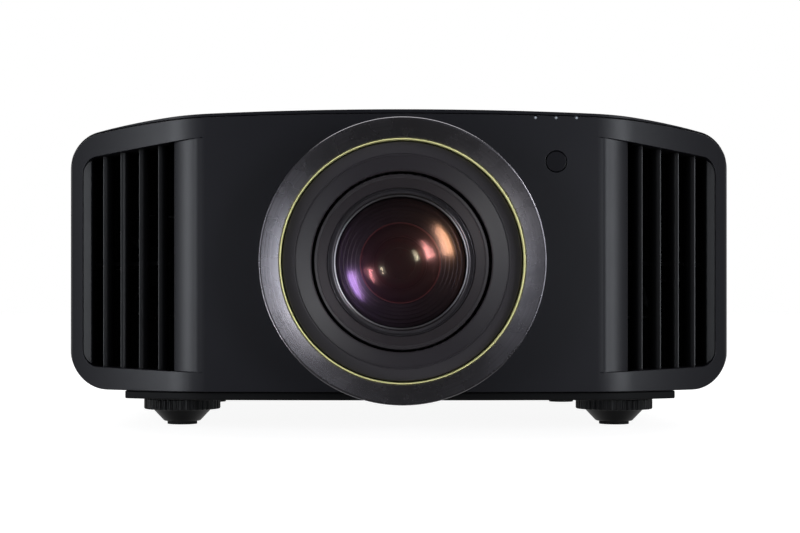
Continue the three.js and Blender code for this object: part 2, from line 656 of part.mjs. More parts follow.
function indicatorLightPipes() {
  const rearY = FRONT_Y + FASCIA_DEPTH + 4;
  const pins = INDICATOR.xs.map((x) =>
    pulledBack(circle(x, INDICATOR.z, INDICATOR.r, 8), panelY(x) + 0.1, rearY + 1));
  const [first, , last] = INDICATOR.xs;
  const bar = block([first - 4, last + 4], [rearY, rearY + 3], [INDICATOR.z - 3, INDICATOR.z + 0.5]);
  return join(bar, ...pins);
}

// ---- feet, about their own vertical axis ----
function footDial() {
  const { dialR, dialTop, dialBottom, coneTopR, coneBottomR, padTop, studR, studTop, ribs } = FOOT;
  const knurl = Array.from({ length: ribs * 2 }, (_, i) => {
    const angle = (Math.PI * i) / ribs;
    const r = i % 2 ? dialR - 1.2 : dialR;
    return [r * Math.cos(angle), r * Math.sin(angle)];
  });
  const cone = turned([
    [0, padTop + 0.3], [coneBottomR, padTop + 0.3], [coneTopR, dialBottom + 0.5], [0, dialBottom + 0.5],
  ], 24);
  return cut(
    join(risen(knurl, dialBottom, dialTop), cone, disc(studR, dialTop - 1, studTop, 14)),
    disc(4.4, 0, 9, 12),
  );
}

const footPad = () => join(disc(FOOT.padR, 0, FOOT.padTop, 24), disc(4, 1, 8.4, 12));

// ---- the assembly ----
const projector = new THREE.Group();
const fixed = (name, made, look) => projector.add(meshOf(name, made, look));

fixed("front_fascia", frontFascia(), satinBlack);
fixed("top_cover", topCover(), satinBlack);
fixed("top_centre_panel", topCentrePanel(), satinBlack);
fixed("base_tray", baseTray(), paintedSteel);
fixed("rear_panel", rearPanel(), satinBlack);
fixed("sensor_window", sensorWindow(), darkWindow);
fixed("indicator_light_pipes", indicatorLightPipes(), darkWindow);

const fins = geometryOf(ventFins());
const duct = geometryOf(fanDuct());
const rotor = geometryOf(fanRotor());
for (const [side, sign] of [["right", 1], ["left", -1]]) {
  const half = new THREE.Group();
  half.scale.x = sign;
  const finMesh = new THREE.Mesh(fins, ventBlack);
  finMesh.name = `${side}_vent_fins`;
  const ductMesh = new THREE.Mesh(duct, ventBlack);
  ductMesh.name = `${side}_fan_duct`;
  const rotorMesh = new THREE.Mesh(rotor, gearPlastic);
  rotorMesh.name = `${side}_fan_rotor`;
  rotorMesh.rotation.x = Math.PI / 2;
  rotorMesh.position.set(FAN.x, FAN.back, FAN.z);
  half.add(finMesh, ductMesh, rotorMesh);
  projector.add(half);
}

fixed("connector_panel", connectorPanel(), steelPlate);
HDMI_X.forEach((x, i) => fixed(`hdmi_socket_${i + 1}`, hdmiSocket(x), silverSocket));
fixed("lan_socket", lanSocket(), silverSocket);
fixed("ac_inlet", acInlet(), dialPlastic);
fixed("left_intake_filter", intakeFilter(-1), whiteFilter);
fixed("right_intake_filter", intakeFilter(1), whiteFilter);

for (const [name, across, up, halfWidth, halfHeight, corner] of BUTTONS) {
  const mesh = meshOf(name, button(halfWidth, halfHeight, corner), softButton);
  mesh.position.set(KEYPAD.x + across, KEYPAD.faceY, KEYPAD.z + up);
  projector.add(mesh);
}

fixed("optical_block", opticalBlock(), castAluminium);
fixed("imaging_panel_red", imagingPanelRed(), castAluminium);
fixed("imaging_panel_green", imagingPanelGreen(), castAluminium);
fixed("imaging_panel_blue", imagingPanelBlue(), castAluminium);
fixed("laser_module", laserModule(), castAluminium);
fixed("laser_heatsink", laserHeatsink(), castAluminium);
fixed("power_supply", powerSupply(), steelPlate);
fixed("main_board", mainBoard(), boardGreen);

// The trim ring is cut to the front panel's curve before it joins the lens group.
const lens = new THREE.Group();
lens.position.set(0, FRONT_Y, LENS_Z);
lens.rotation.x = Math.PI / 2;
projector.add(lens);
const onLensAxis = (name, made, look) => lens.add(meshOf(name, made, look));

const behindPanel = geometryOf(risen(behind(frontCurve(-0.35), 0), -50, 300));
const panelRoom = solid(behindPanel.translate(0, -FRONT_Y, -LENS_Z).rotateX(-Math.PI / 2));
onLensAxis("lens_trim_ring", cut(lensTrimRing(), panelRoom), ringMetal);
onLensAxis("gold_accent_ring", goldAccentRing(), gold);
onLensAxis("lens_well", lensWell(), barrelBlack);
onLensAxis("lens_barrel", lensBarrel(), barrelBlack);
onLensAxis("lens_front_ring", lensFrontRing(), ringMetal);
onLensAxis("front_element", frontElement(), coatedGlass);
onLensAxis("focus_cell", focusCell(), coatedGlass);
onLensAxis("zoom_cell", zoomCell(), coatedGlass);
onLensAxis("focus_ring", toothedRing(-44, -60), gearPlastic);
onLensAxis("zoom_ring", toothedRing(-100, -118), gearPlastic);
onLensAxis("shift_base_plate", shiftBasePlate(), steelPlate);
onLensAxis("vertical_shift_plate", verticalShiftPlate(), steelPlate);
onLensAxis("horizontal_shift_plate", horizontalShiftPlate(), steelPlate);

const horizontalMotor = meshOf("horizontal_shift_motor", shiftMotor(), gearPlastic);
horizontalMotor.position.set(-60, 88, SHIFT_PLATE.vertical + 12.5);
const verticalMotor = meshOf("vertical_shift_motor", shiftMotor(), gearPlastic);
verticalMotor.rotation.z = Math.PI / 2;
verticalMotor.position.set(94, -60, SHIFT_PLATE.base + 14);
lens.add(horizontalMotor, verticalMotor);

for (const [place, x, y] of footPlaces) {
  const foot = new THREE.Group();
  foot.position.set(x, y, 0);
  foot.add(meshOf(`${place}_foot_dial`, footDial(), dialPlastic));
  foot.add(meshOf(`${place}_foot_pad`, footPad(), rubber));
  projector.add(foot);
}

export default projector;
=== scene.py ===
"""Home cinema projector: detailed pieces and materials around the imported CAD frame."""

import math

import bmesh
import bpy
from mathutils import Matrix, Vector


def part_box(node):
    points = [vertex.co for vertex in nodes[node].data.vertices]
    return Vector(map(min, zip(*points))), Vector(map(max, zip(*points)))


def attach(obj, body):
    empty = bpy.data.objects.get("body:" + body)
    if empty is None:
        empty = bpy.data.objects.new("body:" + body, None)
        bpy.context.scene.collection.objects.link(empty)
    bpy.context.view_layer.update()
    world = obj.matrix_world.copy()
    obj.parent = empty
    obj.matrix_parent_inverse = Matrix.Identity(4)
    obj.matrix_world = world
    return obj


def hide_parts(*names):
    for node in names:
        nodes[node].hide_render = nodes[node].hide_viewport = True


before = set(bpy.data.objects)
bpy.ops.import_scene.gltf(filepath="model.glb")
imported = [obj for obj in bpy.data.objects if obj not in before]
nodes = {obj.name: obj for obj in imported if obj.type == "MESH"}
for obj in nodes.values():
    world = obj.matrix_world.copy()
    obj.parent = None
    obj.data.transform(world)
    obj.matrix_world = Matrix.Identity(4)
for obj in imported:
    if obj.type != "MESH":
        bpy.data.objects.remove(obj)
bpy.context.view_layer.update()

# ---- sizes in millimetres, worked out from the frame where it holds them ----
MM = 0.001


def mm_box(node):
    low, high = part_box(node)
    return low / MM, high / MM


def middle(low, high):
    """Middle of a box across and up."""
    return (low.x + high.x) / 2, (low.z + high.z) / 2


case_low, case_high = mm_box("top_cover")
ring_low, ring_high = mm_box("lens_trim_ring")
fascia_low, fascia_high = mm_box("front_fascia")
rear_low, rear_high = mm_box("rear_panel")
HALF_WIDTH = case_high.x
BODY_BOTTOM = case_low.z
CROWN = case_high.z
LENS_Z = (ring_low.z + ring_high.z) / 2
PANEL_Y = fascia_low.y  # the front panel at its centre line
REAR_Y = rear_high.y
WALL = 3.0
FASCIA_DROP = CROWN - fascia_high.z
FASCIA_DEPTH = 14.0

# Tangent arcs from the centre line outwards: radius and the angle each ends at. A radius of 0
# is worked out so that the chain ends at half the width of the case.
CROWN_ARCS = [(3600, 2.2), (0, 10), (28, 90)]
FASCIA_CROWN_ARCS = [(4500, 1.7), (0, 8.5), (28, 90)]
PLAN_ARCS = [(2400, 3.4), (70, 27), (0, 36), (8, 90)]
BOTTOM_CORNER = 31.0
VENT_INNER, VENT_OUTER, VENT_CORNER = 143, 239, 12.5
VENT_TOP, VENT_TOP_OUTER, VENT_BOTTOM = 213.5, 203, 42
SCOOP_RADIUS, SCOOP_FROM, SCOOP_TO, SCOOP_TAIL = 41, 3.4, 40, 16
FRAME_FROM = 171.5  # the frame round the vent's mouth starts here
FIN_X = (179.2, 194.4, 209.2, 223.5)
FIN_WIDE, FIN_NOSE = 5.6, 7.5  # width of a fin and depth of its rounded front


def sin_deg(angle):
    return math.sin(math.radians(angle))


def cos_deg(angle):
    return math.cos(math.radians(angle))


# ---- outlines ----
def fitted(arcs, half_width):
    """The arcs with the free radius worked out."""
    known, free_span, start = 0.0, 0.0, 0.0
    for radius, end in arcs:
        span = sin_deg(end) - sin_deg(start)
        if radius:
            known += radius * span
        else:
            free_span = span
        start = end
    return [(radius or (half_width - known) / free_span, end) for radius, end in arcs]


def arc_chain(arcs, inset=0.0, step=3.0):
    """Points (sideways, fallen) along tangent arcs, moved inwards by inset, about step apart."""
    points = []
    centre_u, centre_v, start = 0.0, arcs[0][0], 0.0
    for index, (radius, end) in enumerate(arcs):
        length = radius * math.radians(end - start)
        steps = max(int(length / step), int((end - start) / 6), 3)
        for i in range(0 if index == 0 else 1, steps + 1):
            angle = start + (end - start) * i / steps
            points.append((centre_u + (radius - inset) * sin_deg(angle),
                           centre_v - (radius - inset) * cos_deg(angle)))
        if index + 1 < len(arcs):
            change = radius - arcs[index + 1][0]
            centre_u += change * sin_deg(end)
            centre_v -= change * cos_deg(end)
        start = end
    return points


CROWN_CHAIN = fitted(CROWN_ARCS, HALF_WIDTH)
FASCIA_CHAIN = fitted(FASCIA_CROWN_ARCS, HALF_WIDTH)
PLAN_CHAIN = fitted(PLAN_ARCS, HALF_WIDTH)


def both_sides(right_half):
    left = [(-u, v) for u, v in reversed(right_half) if u > 1e-6]
    return right_half + left


def case_outline(arcs, crown, inset=0.0):
    """Front view of the case: crowned top, straight sides, rounded lower corners."""
    top = [(u, crown - fallen) for u, fallen in arc_chain(arcs, inset, 6.0)]
    corner = [(HALF_WIDTH - BOTTOM_CORNER + (BOTTOM_CORNER - inset) * cos_deg(90 * i / 14),
               BODY_BOTTOM + BOTTOM_CORNER - (BOTTOM_CORNER - inset) * sin_deg(90 * i / 14))
              for i in range(15)]
    return both_sides(top + corner)


def front_curve(shift=0.0, inset=0.0):
    """Plan view of the front, left to right."""
    right = [(u, PANEL_Y + fallen + shift) for u, fallen in arc_chain(PLAN_CHAIN, inset)]
    left = [(-u, v) for u, v in reversed(right) if u > 1e-6]
    return left + right


def front_at(x):
    """How far back the front surface is, at this distance from the centre."""
    return next(y for u, y in front_curve() if u >= x)


def plan_band(near, far):
    return near + list(reversed(far))


def behind(curve, y):
    return [(curve[0][0], y)] + curve + [(curve[-1][0], y)]


def rounded_rect(x0, x1, y0, y1, radius, steps=6):
    points = []
    for cx, cy, start in ((x1 - radius, y1 - radius, 0), (x0 + radius, y1 - radius, 90),
                          (x0 + radius, y0 + radius, 180), (x1 - radius, y0 + radius, 270)):
        for i in range(steps + 1):
            angle = start + 90 * i / steps
            points.append((cx + radius * cos_deg(angle), cy + radius * sin_deg(angle)))
    return points


def circle(cx, cy, radius, segments=64):
    return [(cx + radius * cos_deg(360 * i / segments), cy + radius * sin_deg(360 * i / segments))
            for i in range(segments)]


def eased(profile):
    """A (radius, height, fillet) profile with each corner turned into a small curve."""
    points, steps = [], 5
    count = len(profile)
    for i, (u, v, fillet) in enumerate(profile):
        here = Vector((u, v))
        if not fillet:
            points.append((u, v))
            continue
        before = Vector(profile[i - 1][:2])
        after = Vector(profile[(i + 1) % count][:2])
        start = here + (before - here).normalized() * min(fillet, (before - here).length * 0.49)
        end = here + (after - here).normalized() * min(fillet, (after - here).length * 0.49)
        for k in range(steps + 1):
            t = k / steps
            points.append(tuple(start * (1 - t) ** 2 + here * 2 * t * (1 - t) + end * t * t))
    return points


# ---- mesh kit ----
def made_object(name, mesh_data):
    mesh_data.transform(Matrix.Scale(MM, 4))
    made = bpy.data.objects.new(name, mesh_data)
    bpy.context.scene.collection.objects.link(made)
    return made


def from_faces(name, vertices, faces):
    mesh = bpy.data.meshes.new(name)
    mesh.from_pydata(vertices, [], faces)
    bm = bmesh.new()
    bm.from_mesh(mesh)
    bmesh.ops.recalc_face_normals(bm, faces=bm.faces)
    bm.to_mesh(mesh)
    bm.free()
    return made_object(name, mesh)


def prism(outline, axis, low, high):
    """An outline pulled along an axis. The outline is (x, y) for z, (x, z) for y, (y, z) for x."""
    def at(u, v, w):
        return {"x": (w, u, v), "y": (u, w, v), "z": (u, v, w)}[axis]
    count = len(outline)
    vertices = [at(u, v, low) for u, v in outline] + [at(u, v, high) for u, v in outline]
    faces = [[i, (i + 1) % count, (i + 1) % count + count, i + count] for i in range(count)]
    faces += [list(range(count)), list(range(2 * count - 1, count - 1, -1))]
    return from_faces("prism", vertices, faces)


def block(x, y, z):
    return prism([(x[0], y[0]), (x[1], y[0]), (x[1], y[1]), (x[0], y[1])], "z", *z)


def turned(profile, segments=128, place=None, name="turned"):
    """A closed (radius, height) profile turned about Z, then moved by place (a matrix in mm)."""
    place = place or Matrix.Identity(4)
    vertices, rings = [], []
    for radius, height in profile:
        if radius < 1e-6:
            rings.append([len(vertices)] * segments)
            vertices.append(place @ Vector((0, 0, height)))
            continue
        rings.append([len(vertices) + i for i in range(segments)])
        for i in range(segments):
            angle = 360 * i / segments
            vertices.append(place @ Vector((radius * cos_deg(angle), radius * sin_deg(angle), height)))
    faces = []
    for one, two in zip(rings, rings[1:] + rings[:1]):
        for i in range(segments):
            j = (i + 1) % segments
            corners = list(dict.fromkeys((one[i], one[j], two[j], two[i])))
            if len(corners) > 2:
                faces.append(corners)
    return from_faces(name, vertices, faces)


LENS_AXIS = Matrix.Translation((0, PANEL_Y, LENS_Z)) @ Matrix.Rotation(math.radians(90), 4, "X")


def on_lens_axis(profile, segments=160, name="turned", fillets=True):
    """A profile of (radius, distance in front of the panel[, fillet]) about the lens axis."""
    return turned(eased(profile) if fillets else profile, segments, LENS_AXIS, name)


def evaluated(obj):
    """Bakes the object's modifiers into its mesh."""
    mesh = bpy.data.meshes.new_from_object(obj.evaluated_get(bpy.context.evaluated_depsgraph_get()))
    obj.modifiers.clear()
    old = obj.data
    obj.data = mesh
    bpy.data.meshes.remove(old)
    return obj


def combined(first, others, operation):
    for other in others:
        modifier = first.modifiers.new("combine", "BOOLEAN")
        modifier.operation = operation
        modifier.solver = "MANIFOLD"
        modifier.object = other
        bpy.context.view_layer.update()
        evaluated(first)
        bpy.data.objects.remove(other)
    return first


def cut(first, *others):
    return combined(first, others, "DIFFERENCE")


def join(first, *others):
    return combined(first, others, "UNION")


def common(first, *others):
    return combined(first, others, "INTERSECT")


def gathered(name, parts):
    """Separate closed bodies kept in one mesh."""
    bm = bmesh.new()
    for part in parts:
        bm.from_mesh(part.data)
        bpy.data.objects.remove(part)
    mesh = bpy.data.meshes.new(name)
    bm.to_mesh(mesh)
    bm.free()
    whole = bpy.data.objects.new(name, mesh)
    bpy.context.scene.collection.objects.link(whole)
    return whole


def mirrored(obj):
    """A copy on the other side of the centre plane."""
    mesh = obj.data.copy()
    mesh.transform(Matrix.Scale(-1, 4, (1, 0, 0)))
    mesh.flip_normals()
    made = bpy.data.objects.new(obj.name + "_mirror", mesh)
    bpy.context.scene.collection.objects.link(made)
    return made


def softened(obj, width, segments=2, angle=35, weld=0.3):
    """Rounds every edge sharper than angle by width, then weights the normals by face area."""
    bm = bmesh.new()
    bm.from_mesh(obj.data)
    bmesh.ops.remove_doubles(bm, verts=bm.verts, dist=weld * MM)
    bmesh.ops.dissolve_limit(bm, angle_limit=math.radians(0.05), verts=bm.verts, edges=bm.edges)
    bm.to_mesh(obj.data)
    bm.free()
    bevel = obj.modifiers.new("soften", "BEVEL")
    bevel.width = width * MM
    bevel.segments = segments
    bevel.limit_method = "ANGLE"
    bevel.angle_limit = math.radians(angle)
    bevel.use_clamp_overlap = False
    bpy.context.view_layer.update()
    evaluated(obj)
    for polygon in obj.data.polygons:
        polygon.use_smooth = True
    obj.modifiers.new("weigh", "WEIGHTED_NORMAL").weight = 90
    bpy.context.view_layer.update()
    obj["weighted"] = True
    return evaluated(obj)


def copied(node):
    """A free copy of a CAD node's mesh, to be refined and put in its place."""
    made = bpy.data.objects.new(node + "_copy", nodes[node].data.copy())
    bpy.context.scene.collection.objects.link(made)
    return made


def finished(obj, name, body, material, replaces=(), sharp=40):
    """Names the piece, shades it smooth with sharp creases, and gives it its body and finish."""
    obj.name = name
    obj.data.name = name
    if "weighted" not in obj:
        for polygon in obj.data.polygons:
            polygon.use_smooth = True
        obj.data.set_sharp_from_angle(angle=math.radians(sharp))
    obj.data.materials.clear()
    obj.data.materials.append(material)
    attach(obj, body)
    if replaces:
        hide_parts(*replaces)
    return obj


# ---- materials ----
class Nodes:
    """A material's node tree, with a short way to add and link nodes."""

    def __init__(self, name):
        self.material = bpy.data.materials.new(name)
        self.material.use_nodes = True
        self.tree = self.material.node_tree
        self.shader = self.tree.nodes["Principled BSDF"]

    def add(self, kind, inputs=None, **settings):
        node = self.tree.nodes.new("ShaderNode" + kind)
        for key, value in settings.items():
            setattr(node, key, value)
        for key, value in (inputs or {}).items():
            if isinstance(value, bpy.types.NodeSocket):
                self.tree.links.new(value, node.inputs[key])
            else:
                node.inputs[key].default_value = value
        return node

    def link(self, output, socket):
        self.tree.links.new(output, self.shader.inputs[socket])


def noise(nodes_, scale, detail=3.0):
    place = nodes_.add("TexCoord").outputs["Object"]
    return nodes_.add("TexNoise", {"Vector": place, "Scale": scale, "Detail": detail}).outputs["Fac"]


def ranged(nodes_, value, low, high, start=0.3, end=0.7):
    return nodes_.add("MapRange", {"Value": value, "From Min": start, "From Max": end,
                                   "To Min": low, "To Max": high}).outputs["Result"]


def blended(nodes_, factor, one, two):
    mix = nodes_.add("Mix", data_type="RGBA")
    nodes_.tree.links.new(factor, mix.inputs[0])
    mix.inputs[6].default_value = (*one, 1)
    mix.inputs[7].default_value = (*two, 1)
    return mix.outputs[2]


def bumped(nodes_, height, strength, distance):
    bump = nodes_.add("Bump", {"Height": height, "Strength": strength, "Distance": distance})
    nodes_.link(bump.outputs["Normal"], "Normal")


def moulded(name, colour, roughness, grain=2200.0, bump=0.12, tint=0.18, metallic=0.0, specular=0.5,
            glow=0.0):
    """Moulded or painted surface: fine grain, slow colour drift and patchy gloss."""
    nodes_ = Nodes(name)
    shader = nodes_.shader
    shader.inputs["Emission Color"].default_value = (*colour, 1)
    shader.inputs["Emission Strength"].default_value = glow
    shader.inputs["Metallic"].default_value = metallic
    shader.inputs["Specular IOR Level"].default_value = specular
    slow = noise(nodes_, 9.0, 2.0)
    darker = tuple(c * (1 - tint) for c in colour)
    lighter = tuple(c * (1 + tint) for c in colour)
    nodes_.link(blended(nodes_, slow, darker, lighter), "Base Color")
    patches = noise(nodes_, 38.0, 4.0)
    nodes_.link(ranged(nodes_, patches, roughness * 0.98, roughness * 1.02), "Roughness")
    bumped(nodes_, noise(nodes_, grain, 2.0), bump, 0.0001)
    return nodes_.material


def spun(name, colour, roughness, centre_z, grooves=900.0, metallic=1.0, bump=0.25):
    """Metal turned on a lathe about the lens axis: fine rings that vary in gloss."""
    nodes_ = Nodes(name)
    shader = nodes_.shader
    shader.inputs["Metallic"].default_value = metallic
    place = nodes_.add("TexCoord").outputs["Object"]
    moved = nodes_.add("VectorMath", {0: place, 1: (0, 0, -centre_z * MM)}, operation="ADD").outputs[0]
    flat = nodes_.add("VectorMath", {0: moved, 1: (1, 0, 1)}, operation="MULTIPLY").outputs[0]
    radius = nodes_.add("VectorMath", {0: flat}, operation="LENGTH").outputs["Value"]
    depth = nodes_.add("SeparateXYZ", {0: place}).outputs["Y"]
    along = nodes_.add("Math", {0: radius, 1: depth}, operation="SUBTRACT").outputs[0]
    rings = nodes_.add("TexNoise", {"W": along, "Scale": grooves, "Detail": 4.0},
                       noise_dimensions="1D").outputs["Fac"]
    streaks = noise(nodes_, 60.0, 3.0)
    darker = tuple(c * 0.8 for c in colour)
    lighter = tuple(c * 1.2 for c in colour)
    nodes_.link(blended(nodes_, rings, darker, lighter), "Base Color")
    rough = ranged(nodes_, streaks, roughness * 0.9, roughness * 1.1)
    nodes_.link(rough, "Roughness")
    bumped(nodes_, rings, bump, 0.00005)
    return nodes_.material


def coated(name, strength, roughness, lower_left, upper_right=None):
    """A lens face: clear, with a coating whose colour turns along the diagonal of the lens."""
    nodes_ = Nodes(name)
    tree = nodes_.tree
    tree.nodes.remove(nodes_.shader)
    place = nodes_.add("TexCoord").outputs["Object"]
    moved = nodes_.add("VectorMath", {0: place, 1: (0, 0, -LENS_Z * MM)}, operation="ADD").outputs[0]
    diagonal = (cos_deg(25), 0, sin_deg(25))
    along = nodes_.add("VectorMath", {0: moved, 1: diagonal}, operation="DOT_PRODUCT").outputs["Value"]
    wavy = nodes_.add("Math", {0: noise(nodes_, 60.0, 2.0), 1: 0.004, 2: along}, operation="MULTIPLY_ADD")
    shade = blended(nodes_, ranged(nodes_, wavy.outputs[0], 0.0, 1.0, -0.044, 0.046), lower_left,
                    upper_right or lower_left)
    gloss = nodes_.add("BsdfGlossy", {"Color": shade, "Roughness": roughness})
    clear = nodes_.add("BsdfTransparent", {"Color": (1, 1, 1, 1)})
    facing = nodes_.add("LayerWeight", {"Blend": 0.25}).outputs["Facing"]
    factor = ranged(nodes_, facing, strength, min(1.0, strength * 2.5), 0.0, 1.0)
    mix = nodes_.add("MixShader", {0: factor, 1: clear.outputs[0], 2: gloss.outputs[0]})
    tree.links.new(mix.outputs[0], tree.nodes["Material Output"].inputs["Surface"])
    return nodes_.material


CASE_BLACK = moulded("case_black", (0.0105, 0.0102, 0.0160), 0.42, grain=2600, bump=0.10, tint=0.08,
                     specular=0.7)
COVER_BLACK = moulded("cover_black", (0.011, 0.0107, 0.0160), 0.46, grain=2600, bump=0.16, tint=0.05)
VENT_BLACK = moulded("vent_black", (0.010, 0.010, 0.0125), 0.42, grain=1800, bump=0.06, specular=0.85)
DUCT_BLACK = moulded("duct_black", (0.003, 0.003, 0.0035), 0.8, grain=1800, bump=0.1)
TRAY_STEEL = moulded("tray_powder_coat", (0.004, 0.004, 0.0048), 0.62, grain=900, bump=0.35, tint=0.2,
                     specular=0.3)
FAN_BLACK = moulded("fan_black", (0.003, 0.003, 0.0035), 0.7, grain=1500, bump=0.1, specular=0.25)
FOOT_BLACK = moulded("foot_plastic", (0.005, 0.005, 0.0056), 0.42, grain=1500, bump=0.15, specular=0.35)
RUBBER = moulded("foot_rubber", (0.012, 0.012, 0.012), 0.8, grain=1200, bump=0.3)
KEY_BLACK = moulded("key_rubber", (0.02, 0.0205, 0.023), 0.55, grain=1600, bump=0.15)
GEAR_BLACK = moulded("gear_plastic", (0.02, 0.02, 0.022), 0.5, grain=1400, bump=0.12)
SOCKET_BLACK = moulded("socket_plastic", (0.012, 0.012, 0.012), 0.5, grain=1500, bump=0.15)
CAST_ALLOY = moulded("cast_alloy", (0.42, 0.43, 0.44), 0.5, grain=700, bump=0.5, metallic=0.9)
ZINC = moulded("zinc_plate", (0.46, 0.47, 0.49), 0.38, grain=260, bump=0.1, metallic=1.0)
NICKEL = moulded("nickel", (0.6, 0.6, 0.62), 0.28, grain=500, bump=0.06, metallic=1.0)
BOARD = moulded("circuit_board", (0.012, 0.06, 0.035), 0.4, grain=500, bump=0.4)
PAPER = moulded("filter_paper", (0.56, 0.57, 0.54), 0.9, grain=900, bump=0.6)
LENS_BLACK = moulded("lens_black", (0.030, 0.026, 0.030), 0.55, grain=2000, bump=0.05, metallic=0.3)
WELL_BLACK = moulded("well_black", (0.015, 0.0125, 0.0165), 0.55, grain=2000, bump=0.06)
BAFFLE_METAL = spun("baffle_metal", (0.040, 0.031, 0.035), 0.36, LENS_Z, grooves=500, bump=0.1)
BAFFLE_BLACK = moulded("baffle_black", (0.006, 0.005, 0.006), 0.38, grain=1500, bump=0.08)
WINDOW = moulded("sensor_window_tint", (0.0125, 0.012, 0.0165), 0.34, grain=2600, bump=0.05, tint=0.1)
INDICATOR = moulded("indicator_lens", (0.5, 0.55, 0.62), 0.25, grain=900, bump=0.05, glow=0.30)
SCREW_BLACK = moulded("screw_black", (0.05, 0.05, 0.055), 0.35, grain=900, bump=0.1, metallic=0.9)
PANEL_STEEL = moulded("connector_plate_black", (0.02, 0.02, 0.022), 0.45, grain=700, bump=0.2, metallic=0.4)
GOLD_CONTACT = moulded("contact_gold", (0.85, 0.65, 0.25), 0.3, grain=600, bump=0.05, metallic=1.0)
COAT_FRONT = coated("front_coating", 0.045, 0.20, (0.55, 0.32, 0.95), (1.0, 0.50, 0.22))
COAT_RED = coated("red_coating", 0.070, 0.19, (1.0, 0.36, 0.42), (1.0, 0.42, 0.36))
COAT_YELLOW = coated("yellow_coating", 0.070, 0.18, (1.0, 0.86, 0.66), (1.0, 0.92, 0.62))
COAT_VIOLET = coated("violet_coating", 0.060, 0.18, (0.80, 0.70, 0.95), (0.50, 0.40, 1.0))
RING_METAL = spun("ring_metal", (0.19, 0.182, 0.20), 0.27, LENS_Z, grooves=700, bump=0.5)
GOLD = spun("gold_metal", (0.98, 0.95, 0.45), 0.4, LENS_Z, metallic=0.1, bump=0.1)
STEEL_RING = spun("front_ring_metal", (0.16, 0.15, 0.165), 0.30, LENS_Z, grooves=1500)
RED_RING = spun("red_ring_metal", (0.26, 0.085, 0.085), 0.4, LENS_Z)
CHAMFER = spun("chamfer_metal", (0.30, 0.29, 0.31), 0.34, LENS_Z)


# ---- front panel ----
def vent_outline(grow=0.0):
    radius, steps = VENT_CORNER + grow, 10
    points = [(VENT_INNER, VENT_BOTTOM - grow)]
    for cx, cz, start in ((VENT_OUTER - VENT_CORNER, VENT_BOTTOM + 3 + VENT_CORNER, -90),
                          (VENT_OUTER - VENT_CORNER, VENT_TOP_OUTER - VENT_CORNER, 0)):
        points += [(cx + radius * cos_deg(start + 90 * i / steps),
                    cz + radius * sin_deg(start + 90 * i / steps)) for i in range(steps + 1)]
    return points + [(VENT_INNER, VENT_TOP + grow)]


def scoop():
    start = arc_chain(PLAN_CHAIN[:1])[-1]
    centre = (start[0] - SCOOP_RADIUS * sin_deg(SCOOP_FROM),
              PANEL_Y + start[1] + SCOOP_RADIUS * cos_deg(SCOOP_FROM))

    def edge(inset):
        arc = [(centre[0] + (SCOOP_RADIUS - inset) * sin_deg(SCOOP_FROM + (SCOOP_TO - SCOOP_FROM) * i / 20),
                centre[1] - (SCOOP_RADIUS - inset) * cos_deg(SCOOP_FROM + (SCOOP_TO - SCOOP_FROM) * i / 20))
               for i in range(21)]
        x, y = arc[-1]
        return arc + [(x, y + SCOOP_TAIL)]

    return prism(plan_band(edge(0), edge(WALL)), "z", VENT_BOTTOM - 2, VENT_TOP + 1)


def front_panel():
    depth = (PANEL_Y - 5, PANEL_Y + 100)
    crown = CROWN - FASCIA_DROP
    outer = common(prism(case_outline(FASCIA_CHAIN, crown), "y", *depth),
                   prism(plan_band(front_curve(), front_curve(FASCIA_DEPTH)), "z", 0, 250))
    inner = common(prism(case_outline(FASCIA_CHAIN, crown, WALL), "y", *depth),
                   prism(plan_band(front_curve(0, WALL), front_curve(40, WALL)), "z", 0, 250))
    shell = cut(outer, inner)
    rim = cut(common(prism(vent_outline(2.4), "y", *depth),
                     prism(plan_band(front_curve(0.5), front_curve(7)), "z", 0, 250)),
              block((0, FRAME_FROM), depth, (0, 250)))
    shell = join(shell, mirrored(rim), rim)
    opening = prism(vent_outline(), "y", *depth)
    shell = cut(shell, mirrored(opening), opening)
    roll = scoop()
    shell = join(shell, mirrored(roll), roll)
    holes = [prism(circle(0, LENS_Z, 90, 96), "y", *depth)]
    holes.append(prism(circle(*middle(*mm_box("sensor_window")), 7.9, 64), "y", *depth))
    holes += [prism(circle(x, INDICATOR_Z, 1.15, 24), "y", *depth) for x in INDICATOR_XS]
    panel = softened(cut(shell, *holes), 0.5, 2)
    finished(panel, "front_panel_shell", "case", CASE_BLACK, ("front_fascia",))


pipes_low, pipes_high = mm_box("indicator_light_pipes")
INDICATOR_Z = pipes_high.z - 0.5
INDICATOR_XS = [pipes_low.x + 4 + 15 * i for i in range(3)]


